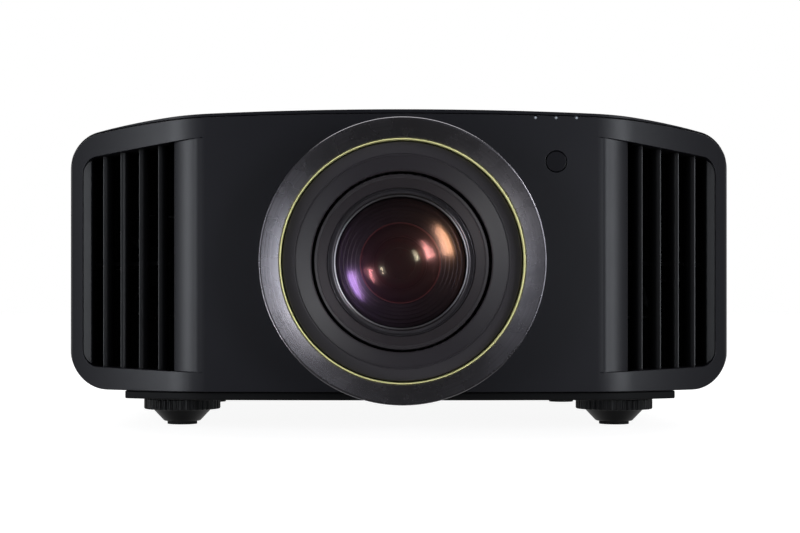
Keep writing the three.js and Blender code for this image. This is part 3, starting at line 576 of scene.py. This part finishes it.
def vent_fins(side, sign):
    depth = (PANEL_Y - 5, PANEL_Y + 130)
    span = prism(plan_band(front_curve(7.4), front_curve(34)), "z", 0, 250)
    surround = cut(common(prism(vent_outline(2.4), "y", *depth), span),
                   prism(vent_outline(), "y", *depth),
                   block((0, FRAME_FROM), depth, (0, 250)))
    blades = []
    for x in FIN_X:
        near = front_at(x) + 9
        nose = [(x - 0.3 - FIN_WIDE * sin_deg(a), near + FIN_NOSE * (1 - cos_deg(a)))
                for a in range(0, 91, 9)]
        blade = nose + [(x + 0.3 - FIN_WIDE, near + 24), (x + 0.2, near + 24), (x + 0.2, near + 0.4)]
        top = VENT_TOP - (x - VENT_INNER) / (VENT_OUTER - VENT_INNER) * (VENT_TOP - VENT_TOP_OUTER)
        blades.append(prism(blade, "z", VENT_BOTTOM - 1, top + 1.5))
    rib = common(block((172, VENT_OUTER + 1), depth, (121, 124)),
                 prism(plan_band(front_curve(28), front_curve(33.5)), "z", 0, 250))
    edge = front_at(VENT_OUTER)
    lip = [(VENT_OUTER, edge + 1), (VENT_OUTER - 5.4, edge + 3.8), (VENT_OUTER - 6.4, edge + 5.6),
           (VENT_OUTER - 6.8, edge + 30), (VENT_OUTER, edge + 30)]
    lip = common(prism(lip, "z", 0, 250), prism(vent_outline(-0.05), "y", *depth))
    whole = join(surround, rib, lip, *blades)
    if sign < 0:
        other = mirrored(whole)
        bpy.data.objects.remove(whole)
        whole = other
    whole = softened(whole, 0.3, 1, weld=0.01)
    finished(whole, f"{side}_vent_fin_unit", "case", VENT_BLACK, (f"{side}_vent_fins",))


# ---- cover, tray and rear panel ----
def cover():
    depth = (PANEL_Y, case_high.y)
    shell = cut(prism(case_outline(CROWN_CHAIN, CROWN), "y", *depth),
                prism(case_outline(CROWN_CHAIN, CROWN, WALL), "y", depth[0] - 1, depth[1] + 1))
    shell = common(shell, prism(behind(front_curve(1.2), 300), "z", 0, 260))
    room = common(prism(case_outline(FASCIA_CHAIN, CROWN - FASCIA_DROP + 0.5), "y", -300, 0),
                  prism(plan_band(front_curve(-20), front_curve(FASCIA_DEPTH + 0.4)), "z", 0, 260))
    strip_low, strip_high = mm_box("top_centre_panel")
    seat = prism(rounded_rect(strip_low.x - 0.4, strip_high.x + 0.4, strip_low.y - 0.4,
                              strip_high.y + 0.4, 5.4), "z", strip_low.z - 0.4, 260)
    shell = cut(shell, room, block((-206, 206), (-300, 300), (0, BODY_BOTTOM + WALL + 2)), seat)
    finished(softened(shell, 0.5, 2), "top_cover_shell", "case", COVER_BLACK, ("top_cover",))
    strip = prism(rounded_rect(strip_low.x, strip_high.x, strip_low.y, strip_high.y, 5), "z",
                  strip_low.z, strip_high.z)
    strip = softened(strip, 0.4, 3)
    finished(strip, "top_centre_strip", "case", COVER_BLACK, ("top_centre_panel",))


def base_tray():
    pan = softened(copied("base_tray"), 1.0, 3)
    finished(pan, "base_tray_pan", "case", TRAY_STEEL, ("base_tray",))


GRILLE_INNER, GRILLE_OUTER, GRILLE_BOTTOM = 122, 222, 62
GRILLE_PITCH, GRILLE_SLOT, GRILLE_SLOTS = 15.5, 9.5, 9
RECESS_SIDE, RECESS_BOTTOM, RECESS_TOP, RECESS_FLOOR, RECESS_RIM = 100, 41, 90, 246.8, 2.5
KEY_FLANGE, KEY_GAP = 1.2, 0.35  # width of a key's flange, and the gap round its stem


def key_box(key):
    """Middle and half sizes of a key's stem, in mm, without the flange behind it."""
    low, high = mm_box(key)
    x, z = middle(low, high)
    return x, z, (high.x - low.x) / 2 - KEY_FLANGE, (high.z - low.z) / 2 - KEY_FLANGE


ARROWS = {"up_button": 90, "down_button": 270, "left_button": 0, "right_button": 180}
ROUND_KEYS = ("ok_button", "power_button")
KEYS = (*ROUND_KEYS, *ARROWS, "input_button", "menu_button", "back_button")


def key_corner(key, half_width, half_height):
    return min(half_width, half_height) - 0.1 if key in ROUND_KEYS else 1.5


def about(x, z, half_width, half_height, corner, steps):
    """A rounded rectangle about that middle."""
    return rounded_rect(x - half_width, x + half_width, z - half_height, z + half_height, corner, steps)


def rear_panel():
    depth = (rear_low.y, REAR_Y)
    cap = cut(prism(case_outline(CROWN_CHAIN, CROWN), "y", *depth),
              prism(case_outline(CROWN_CHAIN, CROWN, WALL), "y", depth[0] - 1, REAR_Y - WALL))
    rim = prism(rounded_rect(-RECESS_SIDE - RECESS_RIM, RECESS_SIDE + RECESS_RIM, RECESS_BOTTOM - RECESS_RIM,
                             RECESS_TOP + RECESS_RIM, 5), "y", RECESS_FLOOR, REAR_Y)
    holes = [prism(rounded_rect(-RECESS_SIDE, RECESS_SIDE, RECESS_BOTTOM, RECESS_TOP, 3), "y",
                   RECESS_FLOOR - 5, REAR_Y + 1)]
    for side in (1, -1):
        ends = sorted((side * GRILLE_INNER, side * GRILLE_OUTER))
        holes += [prism(rounded_rect(ends[0], ends[1], GRILLE_BOTTOM + i * GRILLE_PITCH,
                                     GRILLE_BOTTOM + i * GRILLE_PITCH + GRILLE_SLOT, 1.5, 4), "y", 240, 270)
                  for i in range(GRILLE_SLOTS)]
    for key in KEYS:
        x, z, half_width, half_height = key_box(key)
        corner = key_corner(key, half_width, half_height) + 0.3
        hole = about(x, z, half_width + KEY_GAP, half_height + KEY_GAP, corner, 8)
        holes.append(prism(hole, "y", 240, 270))
    panel = softened(cut(join(cap, rim), *holes), 0.5, 2)
    finished(panel, "rear_panel_moulding", "case", COVER_BLACK, ("rear_panel",))


def grille_louvres():
    """Fine slanted slats inside each slot of the rear grilles."""
    slats = []
    for side in (1, -1):
        ends = sorted((side * (GRILLE_INNER - 2), side * (GRILLE_OUTER + 2)))
        for i in range(GRILLE_SLOTS):
            for share in (1 / 3, 2 / 3):
                z = GRILLE_BOTTOM + i * GRILLE_PITCH + GRILLE_SLOT * share
                slat = [(251.2, z + 0.8), (254.6, z - 0.9), (254.6, z - 0.1), (251.2, z + 1.6)]
                slats.append(prism(slat, "x", *ends))
    finished(gathered("grille_louvres", slats), "grille_louvres", "case", VENT_BLACK)


def keys():
    face = mm_box("ok_button")[1].y
    for key in KEYS:
        x, z, half_width, half_height = key_box(key)
        corner = key_corner(key, half_width, half_height)
        stem = prism(about(x, z, half_width, half_height, corner, 10), "y", face - 4.4, face)
        flange = prism(about(x, z, half_width + KEY_FLANGE, half_height + KEY_FLANGE, corner + 0.5, 10),
                       "y", face - 5.6, face - 4.4)
        cap = join(stem, flange)
        if key in ARROWS:
            turn = ARROWS[key]
            arrow = [(x + 2.1 * cos_deg(turn + a), z + 2.1 * sin_deg(turn + a)) for a in (0, 120, 240)]
            cap = cut(cap, prism(arrow, "y", face - 0.35, face + 1))
        elif key == "ok_button":
            cap = cut(cap, cut(prism(circle(x, z, 3.4), "y", face - 0.35, face + 1),
                               prism(circle(x, z, 2.8), "y", face - 1, face + 2)))
        body = key.replace("_button", "_key")
        finished(softened(cap, 0.25, 2, weld=0.02), key + "_cap", body, KEY_BLACK, (key,))


def screw(place, radius=2.9):
    """A pan-head screw with a cross recess, its head up; place is a matrix in mm."""
    height = 0.9
    head = turned(eased([(0, 0, 0), (radius, 0, 0), (radius, height * 0.6, 0.35),
                         (radius * 0.62, height, 0.5), (0, height, 0)]), 40)
    slots = [block((-radius * 0.55, radius * 0.55), (-0.35, 0.35), (height - 0.6, height + 1)),
             block((-0.35, 0.35), (-radius * 0.55, radius * 0.55), (height - 0.6, height + 1))]
    head = cut(head, *slots)
    head.data.transform(Matrix.Scale(MM, 4) @ place @ Matrix.Scale(1 / MM, 4))
    return head


def screws():
    facing_back = Matrix.Rotation(math.radians(-90), 4, "X")
    rear = [screw(Matrix.Translation((x, REAR_Y, z)) @ facing_back)
            for x, z in ((-232, 60), (232, 60), (-232, 190), (232, 190), (-60, 222), (60, 222))]
    finished(gathered("rear_screws", rear), "rear_screws", "case", SCREW_BLACK)
    facing_down = Matrix.Rotation(math.radians(180), 4, "X")
    tray_low = mm_box("base_tray")[0]
    below = [screw(Matrix.Translation((x, y, tray_low.z)) @ facing_down, 3.4)
             for x, y in ((-190, -60), (190, -60), (-190, 60), (190, 60),
                          (-80, -150), (80, -150), (-80, 230), (80, 230))]
    finished(gathered("base_screws", below), "base_screws", "case", SCREW_BLACK)


def sockets():
    plate = copied("connector_panel")
    finished(plate, "connector_plate", "case", PANEL_STEEL, ("connector_panel",))
    for i in (1, 2):
        low, high = mm_box(f"hdmi_socket_{i}")
        x, z = middle(low, high)
        outline = [(x - 8, z + 3.2), (x - 8, z - 0.6), (x - 5.6, z - 3.2),
                   (x + 5.6, z - 3.2), (x + 8, z - 0.6), (x + 8, z + 3.2)]
        inner = [(x + (u - x) * 0.9, z + (v - z) * 0.78) for u, v in outline]
        shell = cut(prism(outline, "y", low.y, high.y), prism(inner, "y", low.y + 1, high.y + 1))
        shell = softened(shell, 0.2, 2, weld=0.02)
        finished(shell, f"hdmi_shell_{i}", "case", NICKEL, (f"hdmi_socket_{i}",))
        tongue = block((x - 5.4, x + 5.4), (low.y + 0.9, high.y - 1.4), (z - 0.3, z + 0.9))
        tongue = softened(tongue, 0.15, 1, weld=0.02)
        finished(tongue, f"hdmi_tongue_{i}", "case", SOCKET_BLACK)
    lan = softened(copied("lan_socket"), 0.25, 2, weld=0.02)
    finished(lan, "lan_shell", "case", NICKEL, ("lan_socket",))
    low, high = mm_box("lan_socket")
    first = middle(low, high)[0] - 4.2
    contacts = [block((first + i * 1.2 - 0.25, first + i * 1.2 + 0.25), (low.y + 1.4, high.y - 3),
                      (low.z + 1.4, low.z + 2.2)) for i in range(8)]
    finished(gathered("lan_contacts", contacts), "lan_contacts", "case", GOLD_CONTACT)
    inlet = softened(copied("ac_inlet"), 0.4, 2, weld=0.02)
    finished(inlet, "mains_inlet", "case", SOCKET_BLACK, ("ac_inlet",))


def filters():
    for side in ("left", "right"):
        node = f"{side}_intake_filter"
        pleats = softened(copied(node), 0.15, 1, weld=0.02)
        finished(pleats, node + "_pleats", "case", PAPER, (node,))


# ---- fans behind the vents ----
def fan(side):
    low, high = mm_box(f"{side}_fan_rotor")
    x, z = middle(low, high)
    front, back, radius, hub = low.y, high.y, (high.x - low.x) / 2, 17
    place = Matrix.Translation((x, back, z)) @ Matrix.Rotation(math.radians(90), 4, "X")
    length = back - front
    rotor = turned(eased([(2.3, 0, 0), (hub, 0, 0.8), (hub, length, 2.5), (2.3, length, 0)]), 64, place)
    rows, columns = 10, 8
    blades = []
    for index in range(7):
        faces_up, faces_down = [], []
        for i in range(rows + 1):
            r = hub - 1 + (radius - 0.4 - hub + 1) * i / rows
            for j in range(columns + 1):
                across = j / columns - 0.5
                sweep = 360 * index / 7 + across * 46 * (0.8 + 0.35 * i / rows) + 10 * (i / rows) ** 2
                height = length / 2 - across * 15 * (1 - 0.35 * i / rows) + 2.2 * (0.25 - across * across)
                thick = 0.1 + 0.7 * (1 - abs(across * 2) ** 6)
                for sheet, lift in ((faces_up, thick), (faces_down, -thick)):
                    sheet.append(place @ Vector((r * cos_deg(sweep), r * sin_deg(sweep), height + lift)))
        count, wide = len(faces_up), columns + 1
        quads = []
        for i in range(rows):
            for j in range(columns):
                a = i * wide + j
                quads.append([a, a + 1, a + wide + 1, a + wide])
                quads.append([count + a + wide, count + a + wide + 1, count + a + 1, count + a])
        rim = ([j for j in range(wide)] + [i * wide + columns for i in range(1, rows + 1)]
               + [rows * wide + j for j in range(columns - 1, -1, -1)]
               + [i * wide for i in range(rows - 1, 0, -1)])
        quads += [[rim[k], rim[(k + 1) % len(rim)], count + rim[(k + 1) % len(rim)], count + rim[k]]
                  for k in range(len(rim))]
        blades.append(from_faces("blade", faces_up + faces_down, quads))
    finished(join(rotor, *blades), f"{side}_fan_blades", f"{side}_fan", FAN_BLACK,
             (f"{side}_fan_rotor",), sharp=50)
    duct = softened(copied(f"{side}_fan_duct"), 0.4, 1, weld=0.05)
    finished(duct, f"{side}_duct_shell", "case", DUCT_BLACK, (f"{side}_fan_duct",))


# ---- lens surround and lens ----
def lens_surround():
    ring = on_lens_axis([(103, -4, 0), (103, 21.4, 0.5), (102.4, 22.4, 0.3), (101.2, 22.7, 0.3),
                         (88.4, 17.3, 0.3), (88.1, 16.8, 0.2), (88.1, -4, 0)], 256)
    ring = cut(ring, prism(behind(front_curve(-0.35), 0), "z", -50, 300))
    finished(ring, "lens_bezel", "case", RING_METAL, ("lens_trim_ring",), sharp=30)
    gold = on_lens_axis([(88, 4, 0), (88, 18, 0.2), (87.8, 18.4, 0.1), (87.4, 18.4, 0.1),
                         (87.2, 18, 0.2), (87.2, 4, 0)], 256)
    finished(gold, "gold_pinstripe", "case", GOLD, ("gold_accent_ring",))
    well = on_lens_axis([(86.2, 12.2, 0.2), (85.7, 13, 0.4), (77.6, 12.4, 0.3), (77.3, 11.7, 0.1),
                         (76.8, 11.7, 0.1), (76.4, 12.1, 0.2), (75.4, 11.3, 0.6), (66.2, 6.2, 0.5),
                         (65.4, 5.2, 0.3), (65.4, 3.2, 0), (80.9, 9.4, 0), (80.9, -9.2, 0),
                         (91, -9.2, 0), (91, -6.4, 0), (83.7, -6.4, 0)], 224)
    finished(well, "lens_well_funnel", "case", WELL_BLACK, ("lens_well",))


def element(radius, front, back, front_bulge, back_bulge, name):
    """A lens element: its faces bulge forwards by the heights given at the axis."""
    steps = 16

    def face(edge, bulge):
        sphere = (radius * radius + bulge * bulge) / (2 * abs(bulge))
        lift = math.copysign(1, bulge)
        rims = [radius * (1 - i / steps) for i in range(steps + 1)]
        return [(r, edge + lift * (math.sqrt(sphere ** 2 - r ** 2) - sphere + abs(bulge))) for r in rims]

    profile = face(front, front_bulge) + list(reversed(face(back, back_bulge)))
    return on_lens_axis(profile, 128, name, fillets=False)


def glass(name, body, coating, measures, replaces=()):
    finished(element(*measures, name), name, body, coating, replaces)


BAFFLE_STEPS, BAFFLE_PITCH, BAFFLE_DROP = 6, 2.9, 0.8


def lens():
    hood = [(64, -2, 0), (64, 0.2, 0.4), (63.2, 1, 0.5), (61.6, -0.2, 0.3), (60.9, -0.3, 0.1),
            (60.4, -1.1, 0.2), (55.6, -5.6, 0.8), (54.3, -6.9, 0.3), (54.2, -12.5, 0), (48.5, -12.5, 0),
            (48.5, -24, 0), (52, -24, 0), (52, -146, 0), (61, -146, 0.5), (61, -14, 1), (64, -11, 0.5)]
    finished(on_lens_axis(hood, 224), "lens_barrel_hood", "lens", LENS_BLACK, ("lens_barrel",))
    ring = on_lens_axis([(53.9, -8.2, 0.2), (53.2, -8.2, 0.1), (52.9, -8.7, 0.1), (52.5, -8.2, 0.1),
                         (50.3, -8.4, 0.3), (49.6, -9.1, 0.2), (49.3, -12.2, 0), (53.9, -12.2, 0)], 224)
    finished(ring, "lens_name_ring", "lens", STEEL_RING, ("lens_front_ring",))
    bright = on_lens_axis([(49.2, -9.6, 0.1), (48.2, -10.0, 0.1), (48.2, -12.3, 0), (49.2, -12.3, 0)], 224)
    finished(bright, "lens_chamfer_ring", "lens", CHAMFER)
    glass("front_glass", "lens", COAT_FRONT, (47.3, -15.5, -23, 14.4, 9), ("front_element",))
    steps = []
    for i in range(BAFFLE_STEPS):
        outer, level = 47.6 - i * BAFFLE_PITCH, -23.6 - i * BAFFLE_DROP
        steps += [(outer, level, 0.1), (outer - BAFFLE_PITCH + 0.5, level - BAFFLE_DROP * 0.5, 0.3),
                  (outer - BAFFLE_PITCH + 0.2, level - BAFFLE_DROP * 0.9, 0.1)]
    profile = [(47.6, -40, 0), *steps, (30.2, -28.6, 0.1), (30.2, -40, 0)]
    finished(on_lens_axis(profile, 192), "baffle_cone", "lens", BAFFLE_METAL)
    red_line = on_lens_axis([(30.1, -28.2, 0.1), (29.6, -28.2, 0.1), (29.3, -28.6, 0), (29.3, -31, 0),
                             (30.1, -31, 0)], 160)
    finished(red_line, "second_lens_ring", "lens", RED_RING)
    glass("second_glass", "lens", COAT_RED, (29.0, -29, -29.8, 8.4, 6.6))
    cell = on_lens_axis([(30.1, -31.2, 0), (30.1, -43.8, 0), (11.8, -43.8, 0), (11.8, -41.8, 0.1),
                         (19.4, -39.4, 0.4), (20, -38.6, 0.2), (20, -36.4, 0.2), (21.4, -35.2, 0.3),
                         (27.6, -32.4, 0.4)], 160)
    finished(cell, "inner_lens_cell", "lens", BAFFLE_BLACK)
    glass("third_glass", "lens", COAT_YELLOW, (19.8, -37.4, -38.4, 6.5, 5))
    glass("fourth_glass", "lens", COAT_VIOLET, (11.6, -42.2, -43.4, 3.4, 2))
    stop = on_lens_axis([(51, -40.6, 0), (51, -42.4, 0), (30.3, -42.4, 0), (30.3, -40.6, 0)], 160)
    finished(stop, "lens_stop", "lens", BAFFLE_BLACK)


GEAR_ROOT, GEAR_TIP, GEAR_TEETH = 66.6, 68.4, 60


def moving_groups():
    cell = on_lens_axis([(51.4, -47.6, 0.4), (51.4, -59.6, 0.4), (20, -59.6, 0), (20, -57, 0),
                         (18.4, -56, 0), (18.4, -48.6, 0.2), (24, -47.6, 0.2)], 128)
    finished(cell, "focus_cell_mount", "focus_group", BAFFLE_BLACK, ("focus_cell",))
    glass("focus_glass", "focus_group", COAT_YELLOW, (18.2, -52.6, -53.4, 5.3, 3.9))
    glass("inner_glass", "focus_group", COAT_VIOLET, (12.6, -58.2, -59.2, 3.9, -2))
    zoom = on_lens_axis([(51.4, -104.5, 0.4), (51.4, -119.5, 0.4), (16, -119.5, 0.3), (16, -116, 0),
                         (14, -115, 0), (14, -106, 0.2), (22, -104.5, 0.2)], 128)
    finished(zoom, "zoom_cell_mount", "zoom_group", BAFFLE_BLACK, ("zoom_cell",))
    glass("zoom_glass", "zoom_group", COAT_VIOLET, (13.8, -110, -112, 3.5, -3))
    for ring, body, front, back in (("focus_ring", "focus_ring_body", -44, -60),
                                    ("zoom_ring", "zoom_ring_body", -100, -118)):
        outline = [(GEAR_ROOT if i % 4 in (0, 3) else GEAR_TIP, 90 * i / GEAR_TEETH)
                   for i in range(GEAR_TEETH * 4)]
        teeth = [(r * cos_deg(a), LENS_Z + r * sin_deg(a)) for r, a in outline]
        gear = cut(prism(teeth, "y", PANEL_Y - front, PANEL_Y - back),
                   prism(circle(0, LENS_Z, 61.7, 128), "y", PANEL_Y - front - 1, PANEL_Y - back + 1))
        gear = softened(gear, 0.2, 1, weld=0.02)
        finished(gear, ring + "_gear", body, GEAR_BLACK, (ring,))


# ---- sensor window, indicators and feet ----
def small_front_pieces():
    low, high = mm_box("sensor_window")
    x, z = middle(low, high)
    facing_front = Matrix.Rotation(math.radians(90), 4, "X")
    place = Matrix.Translation((x, low.y, z)) @ facing_front
    window = turned([(0, 0), (0, -5), (9.4, -5), (9.4, -3.6), (7.3, -3.6), (7.3, -0.3), (7.2, -0.1),
                     (7.0, 0), (6.6, 0)], 96, place)
    finished(window, "sensor_lens", "case", WINDOW, ("sensor_window",), sharp=20)
    rear_y = mm_box("indicator_light_pipes")[1].y
    pins = []
    for x in INDICATOR_XS:
        face = front_at(x) + 0.1
        tip = turned([(0, 0), (0.9, 0), (0.9, 17), (0.7, 17.6), (0.3, 17.9), (0, 18)], 24,
                     Matrix.Translation((x, face + 18, INDICATOR_Z)) @ facing_front)
        pins.append(tip)
    bar = block((INDICATOR_XS[0] - 4, INDICATOR_XS[-1] + 4), (rear_y - 3.2, rear_y),
                (INDICATOR_Z - 3, INDICATOR_Z + 0.5))
    finished(gathered("indicator_lenses", [*pins, bar]), "indicator_lenses", "case", INDICATOR,
             ("indicator_light_pipes",))


def foot(place):
    low, high = mm_box(f"{place}_foot_dial")
    x, y = (low.x + high.x) / 2, (low.y + high.y) / 2
    radius, ribs, bottom, top = (high.x - low.x) / 2, 40, 11.8, 19.7
    outline = []
    for i in range(ribs * 6):
        wave = 0.5 - 0.5 * math.cos(2 * math.pi * i / 6)
        r = radius - 1.1 * (1 - wave) ** 1.5
        outline.append((x + r * cos_deg(60 * i / ribs), y + r * sin_deg(60 * i / ribs)))
    knurl = prism(outline, "z", bottom, top)
    at = Matrix.Translation((x, y, 0))
    trim = turned(eased([(0, bottom - 1, 0), (radius - 1.6, bottom - 1, 0), (radius + 0.6, bottom + 1.2, 0),
                         (radius + 0.6, top - 1.2, 0), (radius - 1.6, top + 1, 0), (0, top + 1, 0)]), 128, at)
    knurl = common(knurl, trim)
    cone = turned(eased([(0, low.z, 0), (13.8, low.z, 0.8), (15.6, 4.4, 0.8), (22, bottom - 0.6, 1.2),
                         (23.4, bottom + 0.5, 0), (0, bottom + 0.5, 0)]), 96, at)
    stud = turned([(0, top - 1), (5, top - 1), (5, high.z - 0.8), (4.2, high.z), (0, high.z)], 40, at)
    socket = turned([(0, 0), (4.4, 0), (4.4, 9), (0, 9)], 48, at)
    dial = cut(join(knurl, cone, stud), socket)
    dial = softened(dial, 0.3, 1, angle=40, weld=0.05)
    finished(dial, f"{place}_foot_knob", f"{place}_dial", FOOT_BLACK, (f"{place}_foot_dial",))
    pad_low, pad_high = mm_box(f"{place}_foot_pad")
    pad_radius = (pad_high.x - pad_low.x) / 2
    pad = turned(eased([(0, 0, 0), (pad_radius - 2.4, 0, 0), (pad_radius - 2, 0.35, 0.1),
                        (pad_radius, 0.0, 0.35), (pad_radius, 2.2, 0.5), (4, 2.2, 0.2), (4, 8.3, 0.4),
                        (0, 8.3, 0)]), 72, at)
    finished(pad, f"{place}_foot_sole", f"{place}_foot", RUBBER, (f"{place}_foot_pad",))


# ---- CAD nodes that keep their shape ----
def internals():
    looks = {CAST_ALLOY: ("optical_block", "imaging_panel_red", "imaging_panel_green",
                          "imaging_panel_blue", "laser_module", "laser_heatsink"),
             ZINC: ("power_supply", "shift_base_plate", "vertical_shift_plate", "horizontal_shift_plate"),
             BOARD: ("main_board",),
             GEAR_BLACK: ("horizontal_shift_motor", "vertical_shift_motor")}
    for look, plain_nodes in looks.items():
        for node in plain_nodes:
            nodes[node].data.materials.clear()
            nodes[node].data.materials.append(look)


front_panel()
for side, sign in (("right", 1), ("left", -1)):
    vent_fins(side, sign)
    fan(side)
cover()
base_tray()
rear_panel()
grille_louvres()
keys()
screws()
sockets()
filters()
lens_surround()
lens()
moving_groups()
small_front_pieces()
for corner in ("front_left", "front_right", "rear_left", "rear_right"):
    foot(corner)
internals()


# ---- stage, lights and camera ----
def seen_or_lit(tree, seen, lit):
    """One number for what the eye sees and another for the light it gives to other surfaces."""
    path = tree.nodes.new("ShaderNodeLightPath")
    pick = tree.nodes.new("ShaderNodeMix")
    tree.links.new(path.outputs["Is Camera Ray"], pick.inputs[0])
    for index, value in ((2, lit), (3, seen)):
        if isinstance(value, bpy.types.NodeSocket):
            tree.links.new(value, pick.inputs[index])
        else:
            pick.inputs[index].default_value = value
    return pick.outputs[0]


def stage():
    """A pale floor that only the eye sees, so no light comes back up from it."""
    floor_material = moulded("pale_floor", (0.35, 0.35, 0.355), 0.75, grain=60, bump=0.0, tint=0.01)
    tree = floor_material.node_tree
    shader = tree.nodes["Principled BSDF"]
    shader.inputs["Specular IOR Level"].default_value = 0.1
    shader.inputs["Emission Color"].default_value = (1, 1, 1, 1)
    tree.links.new(seen_or_lit(tree, 0.92, 0.0), shader.inputs["Emission Strength"])
    mesh = bpy.data.meshes.new("floor")
    reach = 30.0
    mesh.from_pydata([(-reach, -reach, 0), (reach, -reach, 0), (reach, reach, 0), (-reach, reach, 0)],
                     [], [(0, 1, 2, 3)])
    floor = bpy.data.objects.new("floor", mesh)
    floor.data.materials.append(floor_material)
    bpy.context.scene.collection.objects.link(floor)
    for kind in ("glossy", "diffuse", "transmission", "shadow"):
        setattr(floor, "visible_" + kind, False)


def studio_surround():
    """A white room to the eye; its light is dim in front of the object and bright behind it."""
    world = bpy.data.worlds.new("studio")
    bpy.context.scene.world = world
    world.use_nodes = True
    tree = world.node_tree
    background = tree.nodes["Background"]
    place = tree.nodes.new("ShaderNodeTexCoord")
    split = tree.nodes.new("ShaderNodeSeparateXYZ")
    tree.links.new(place.outputs["Generated"], split.inputs[0])
    fade = tree.nodes.new("ShaderNodeMapRange")
    fade.interpolation_type = "SMOOTHSTEP"
    fade.inputs["From Min"].default_value = -0.2
    fade.inputs["From Max"].default_value = 0.9
    fade.inputs["To Min"].default_value = 0.055
    fade.inputs["To Max"].default_value = 0.55
    tree.links.new(split.outputs["Y"], fade.inputs["Value"])
    tree.links.new(seen_or_lit(tree, 1.0, fade.outputs["Result"]), background.inputs["Strength"])
    background.inputs["Color"].default_value = (1, 1, 1, 1)


LIGHTS_AIM = Vector((0, -0.2, 0.12))


def softbox(name, azimuth, elevation, distance, size, radiance, colour=(1, 1, 1)):
    """An area light at that angle seen from the lens: azimuth to the right of straight ahead."""
    light = bpy.data.lights.new(name, "AREA")
    light.shape = "RECTANGLE"
    light.size, light.size_y = size
    light.energy = radiance * math.pi * size[0] * size[1]
    light.color = colour
    lamp = bpy.data.objects.new(name, light)
    bpy.context.scene.collection.objects.link(lamp)
    away = Vector((sin_deg(azimuth) * cos_deg(elevation), -cos_deg(azimuth) * cos_deg(elevation),
                   sin_deg(elevation)))
    lamp.location = LIGHTS_AIM + away * distance
    lamp.rotation_mode = "QUATERNION"
    lamp.rotation_quaternion = away.to_track_quat("Z", "Y")
    lamp.visible_camera = False
    return lamp


def flagged(lamp, names, state):
    """Limits a light to the named pieces (INCLUDE) or keeps it off them (EXCLUDE)."""
    group = bpy.data.collections.new(lamp.name + "_flag")
    for name in names:
        group.objects.link(bpy.data.objects[name])
    lamp.light_linking.receiver_collection = group
    for member in group.collection_objects:
        member.light_linking.link_state = state


def camera():
    data = bpy.data.cameras.new("camera")
    data.sensor_width = 36.0
    data.lens = 77.6
    data.shift_x, data.shift_y = 0.0704, 0.0544
    made = bpy.data.objects.new("camera", data)
    bpy.context.scene.collection.objects.link(made)
    made.location = (-0.042, PANEL_Y * MM - 1.25, 0.0876)
    made.rotation_euler = (math.radians(90), 0, 0)
    bpy.context.scene.camera = made


LENS_TRIM = ("lens_bezel", "gold_pinstripe", "lens_well_funnel", "lens_barrel_hood", "lens_name_ring",
             "lens_chamfer_ring", "baffle_cone", "second_lens_ring")
GLASSES = ("front_glass", "second_glass", "third_glass", "fourth_glass", "focus_glass", "inner_glass",
           "zoom_glass")
SHADED = (*GLASSES, "inner_lens_cell", "lens_stop")
KEY_BLUE, WASH_BLUE = (0.90, 0.94, 1.0), (0.86, 0.90, 1.0)
KEY_SIZE, CORE_SIZE, GLINT_SIZE, WASH_SIZE = (0.30, 0.90), (0.30, 0.36), (0.40, 0.64), (0.8, 0.8)
NEAR, WASH_AWAY = 1.35, 1.3  # metres from the lamps to where they aim


def lights():
    """Keys and washes light the case, cores only the lens trim, glints only the glass."""
    flagged(softbox("right_key", 50, 5, NEAR, KEY_SIZE, 5.4, KEY_BLUE), SHADED, "EXCLUDE")
    flagged(softbox("left_key", -54, 5, NEAR, KEY_SIZE, 6.0, KEY_BLUE), SHADED, "EXCLUDE")
    flagged(softbox("right_core", 53, 24, NEAR, CORE_SIZE, 17), LENS_TRIM, "INCLUDE")
    flagged(softbox("left_core", -55, -20, NEAR, CORE_SIZE, 22), LENS_TRIM, "INCLUDE")
    flagged(softbox("right_glint", 53, 22, NEAR, GLINT_SIZE, 26), GLASSES, "INCLUDE")
    flagged(softbox("left_glint", -55, -21, NEAR, GLINT_SIZE, 26), GLASSES, "INCLUDE")
    flagged(softbox("right_wash", 26, 14, WASH_AWAY, WASH_SIZE, 0.16, WASH_BLUE), SHADED, "EXCLUDE")
    flagged(softbox("left_wash", -27, 10, WASH_AWAY, WASH_SIZE, 0.12, WASH_BLUE), SHADED, "EXCLUDE")
    softbox("top_back", 180, 62, 1.6, (1.8, 0.9), 2.2)
    softbox("back_left", -145, 25, 1.7, (0.9, 0.9), 2.0)
    softbox("back_right", 145, 25, 1.7, (0.9, 0.9), 2.0)


stage()
studio_surround()
camera()
lights()
bpy.context.scene.view_settings.view_transform = "Standard"
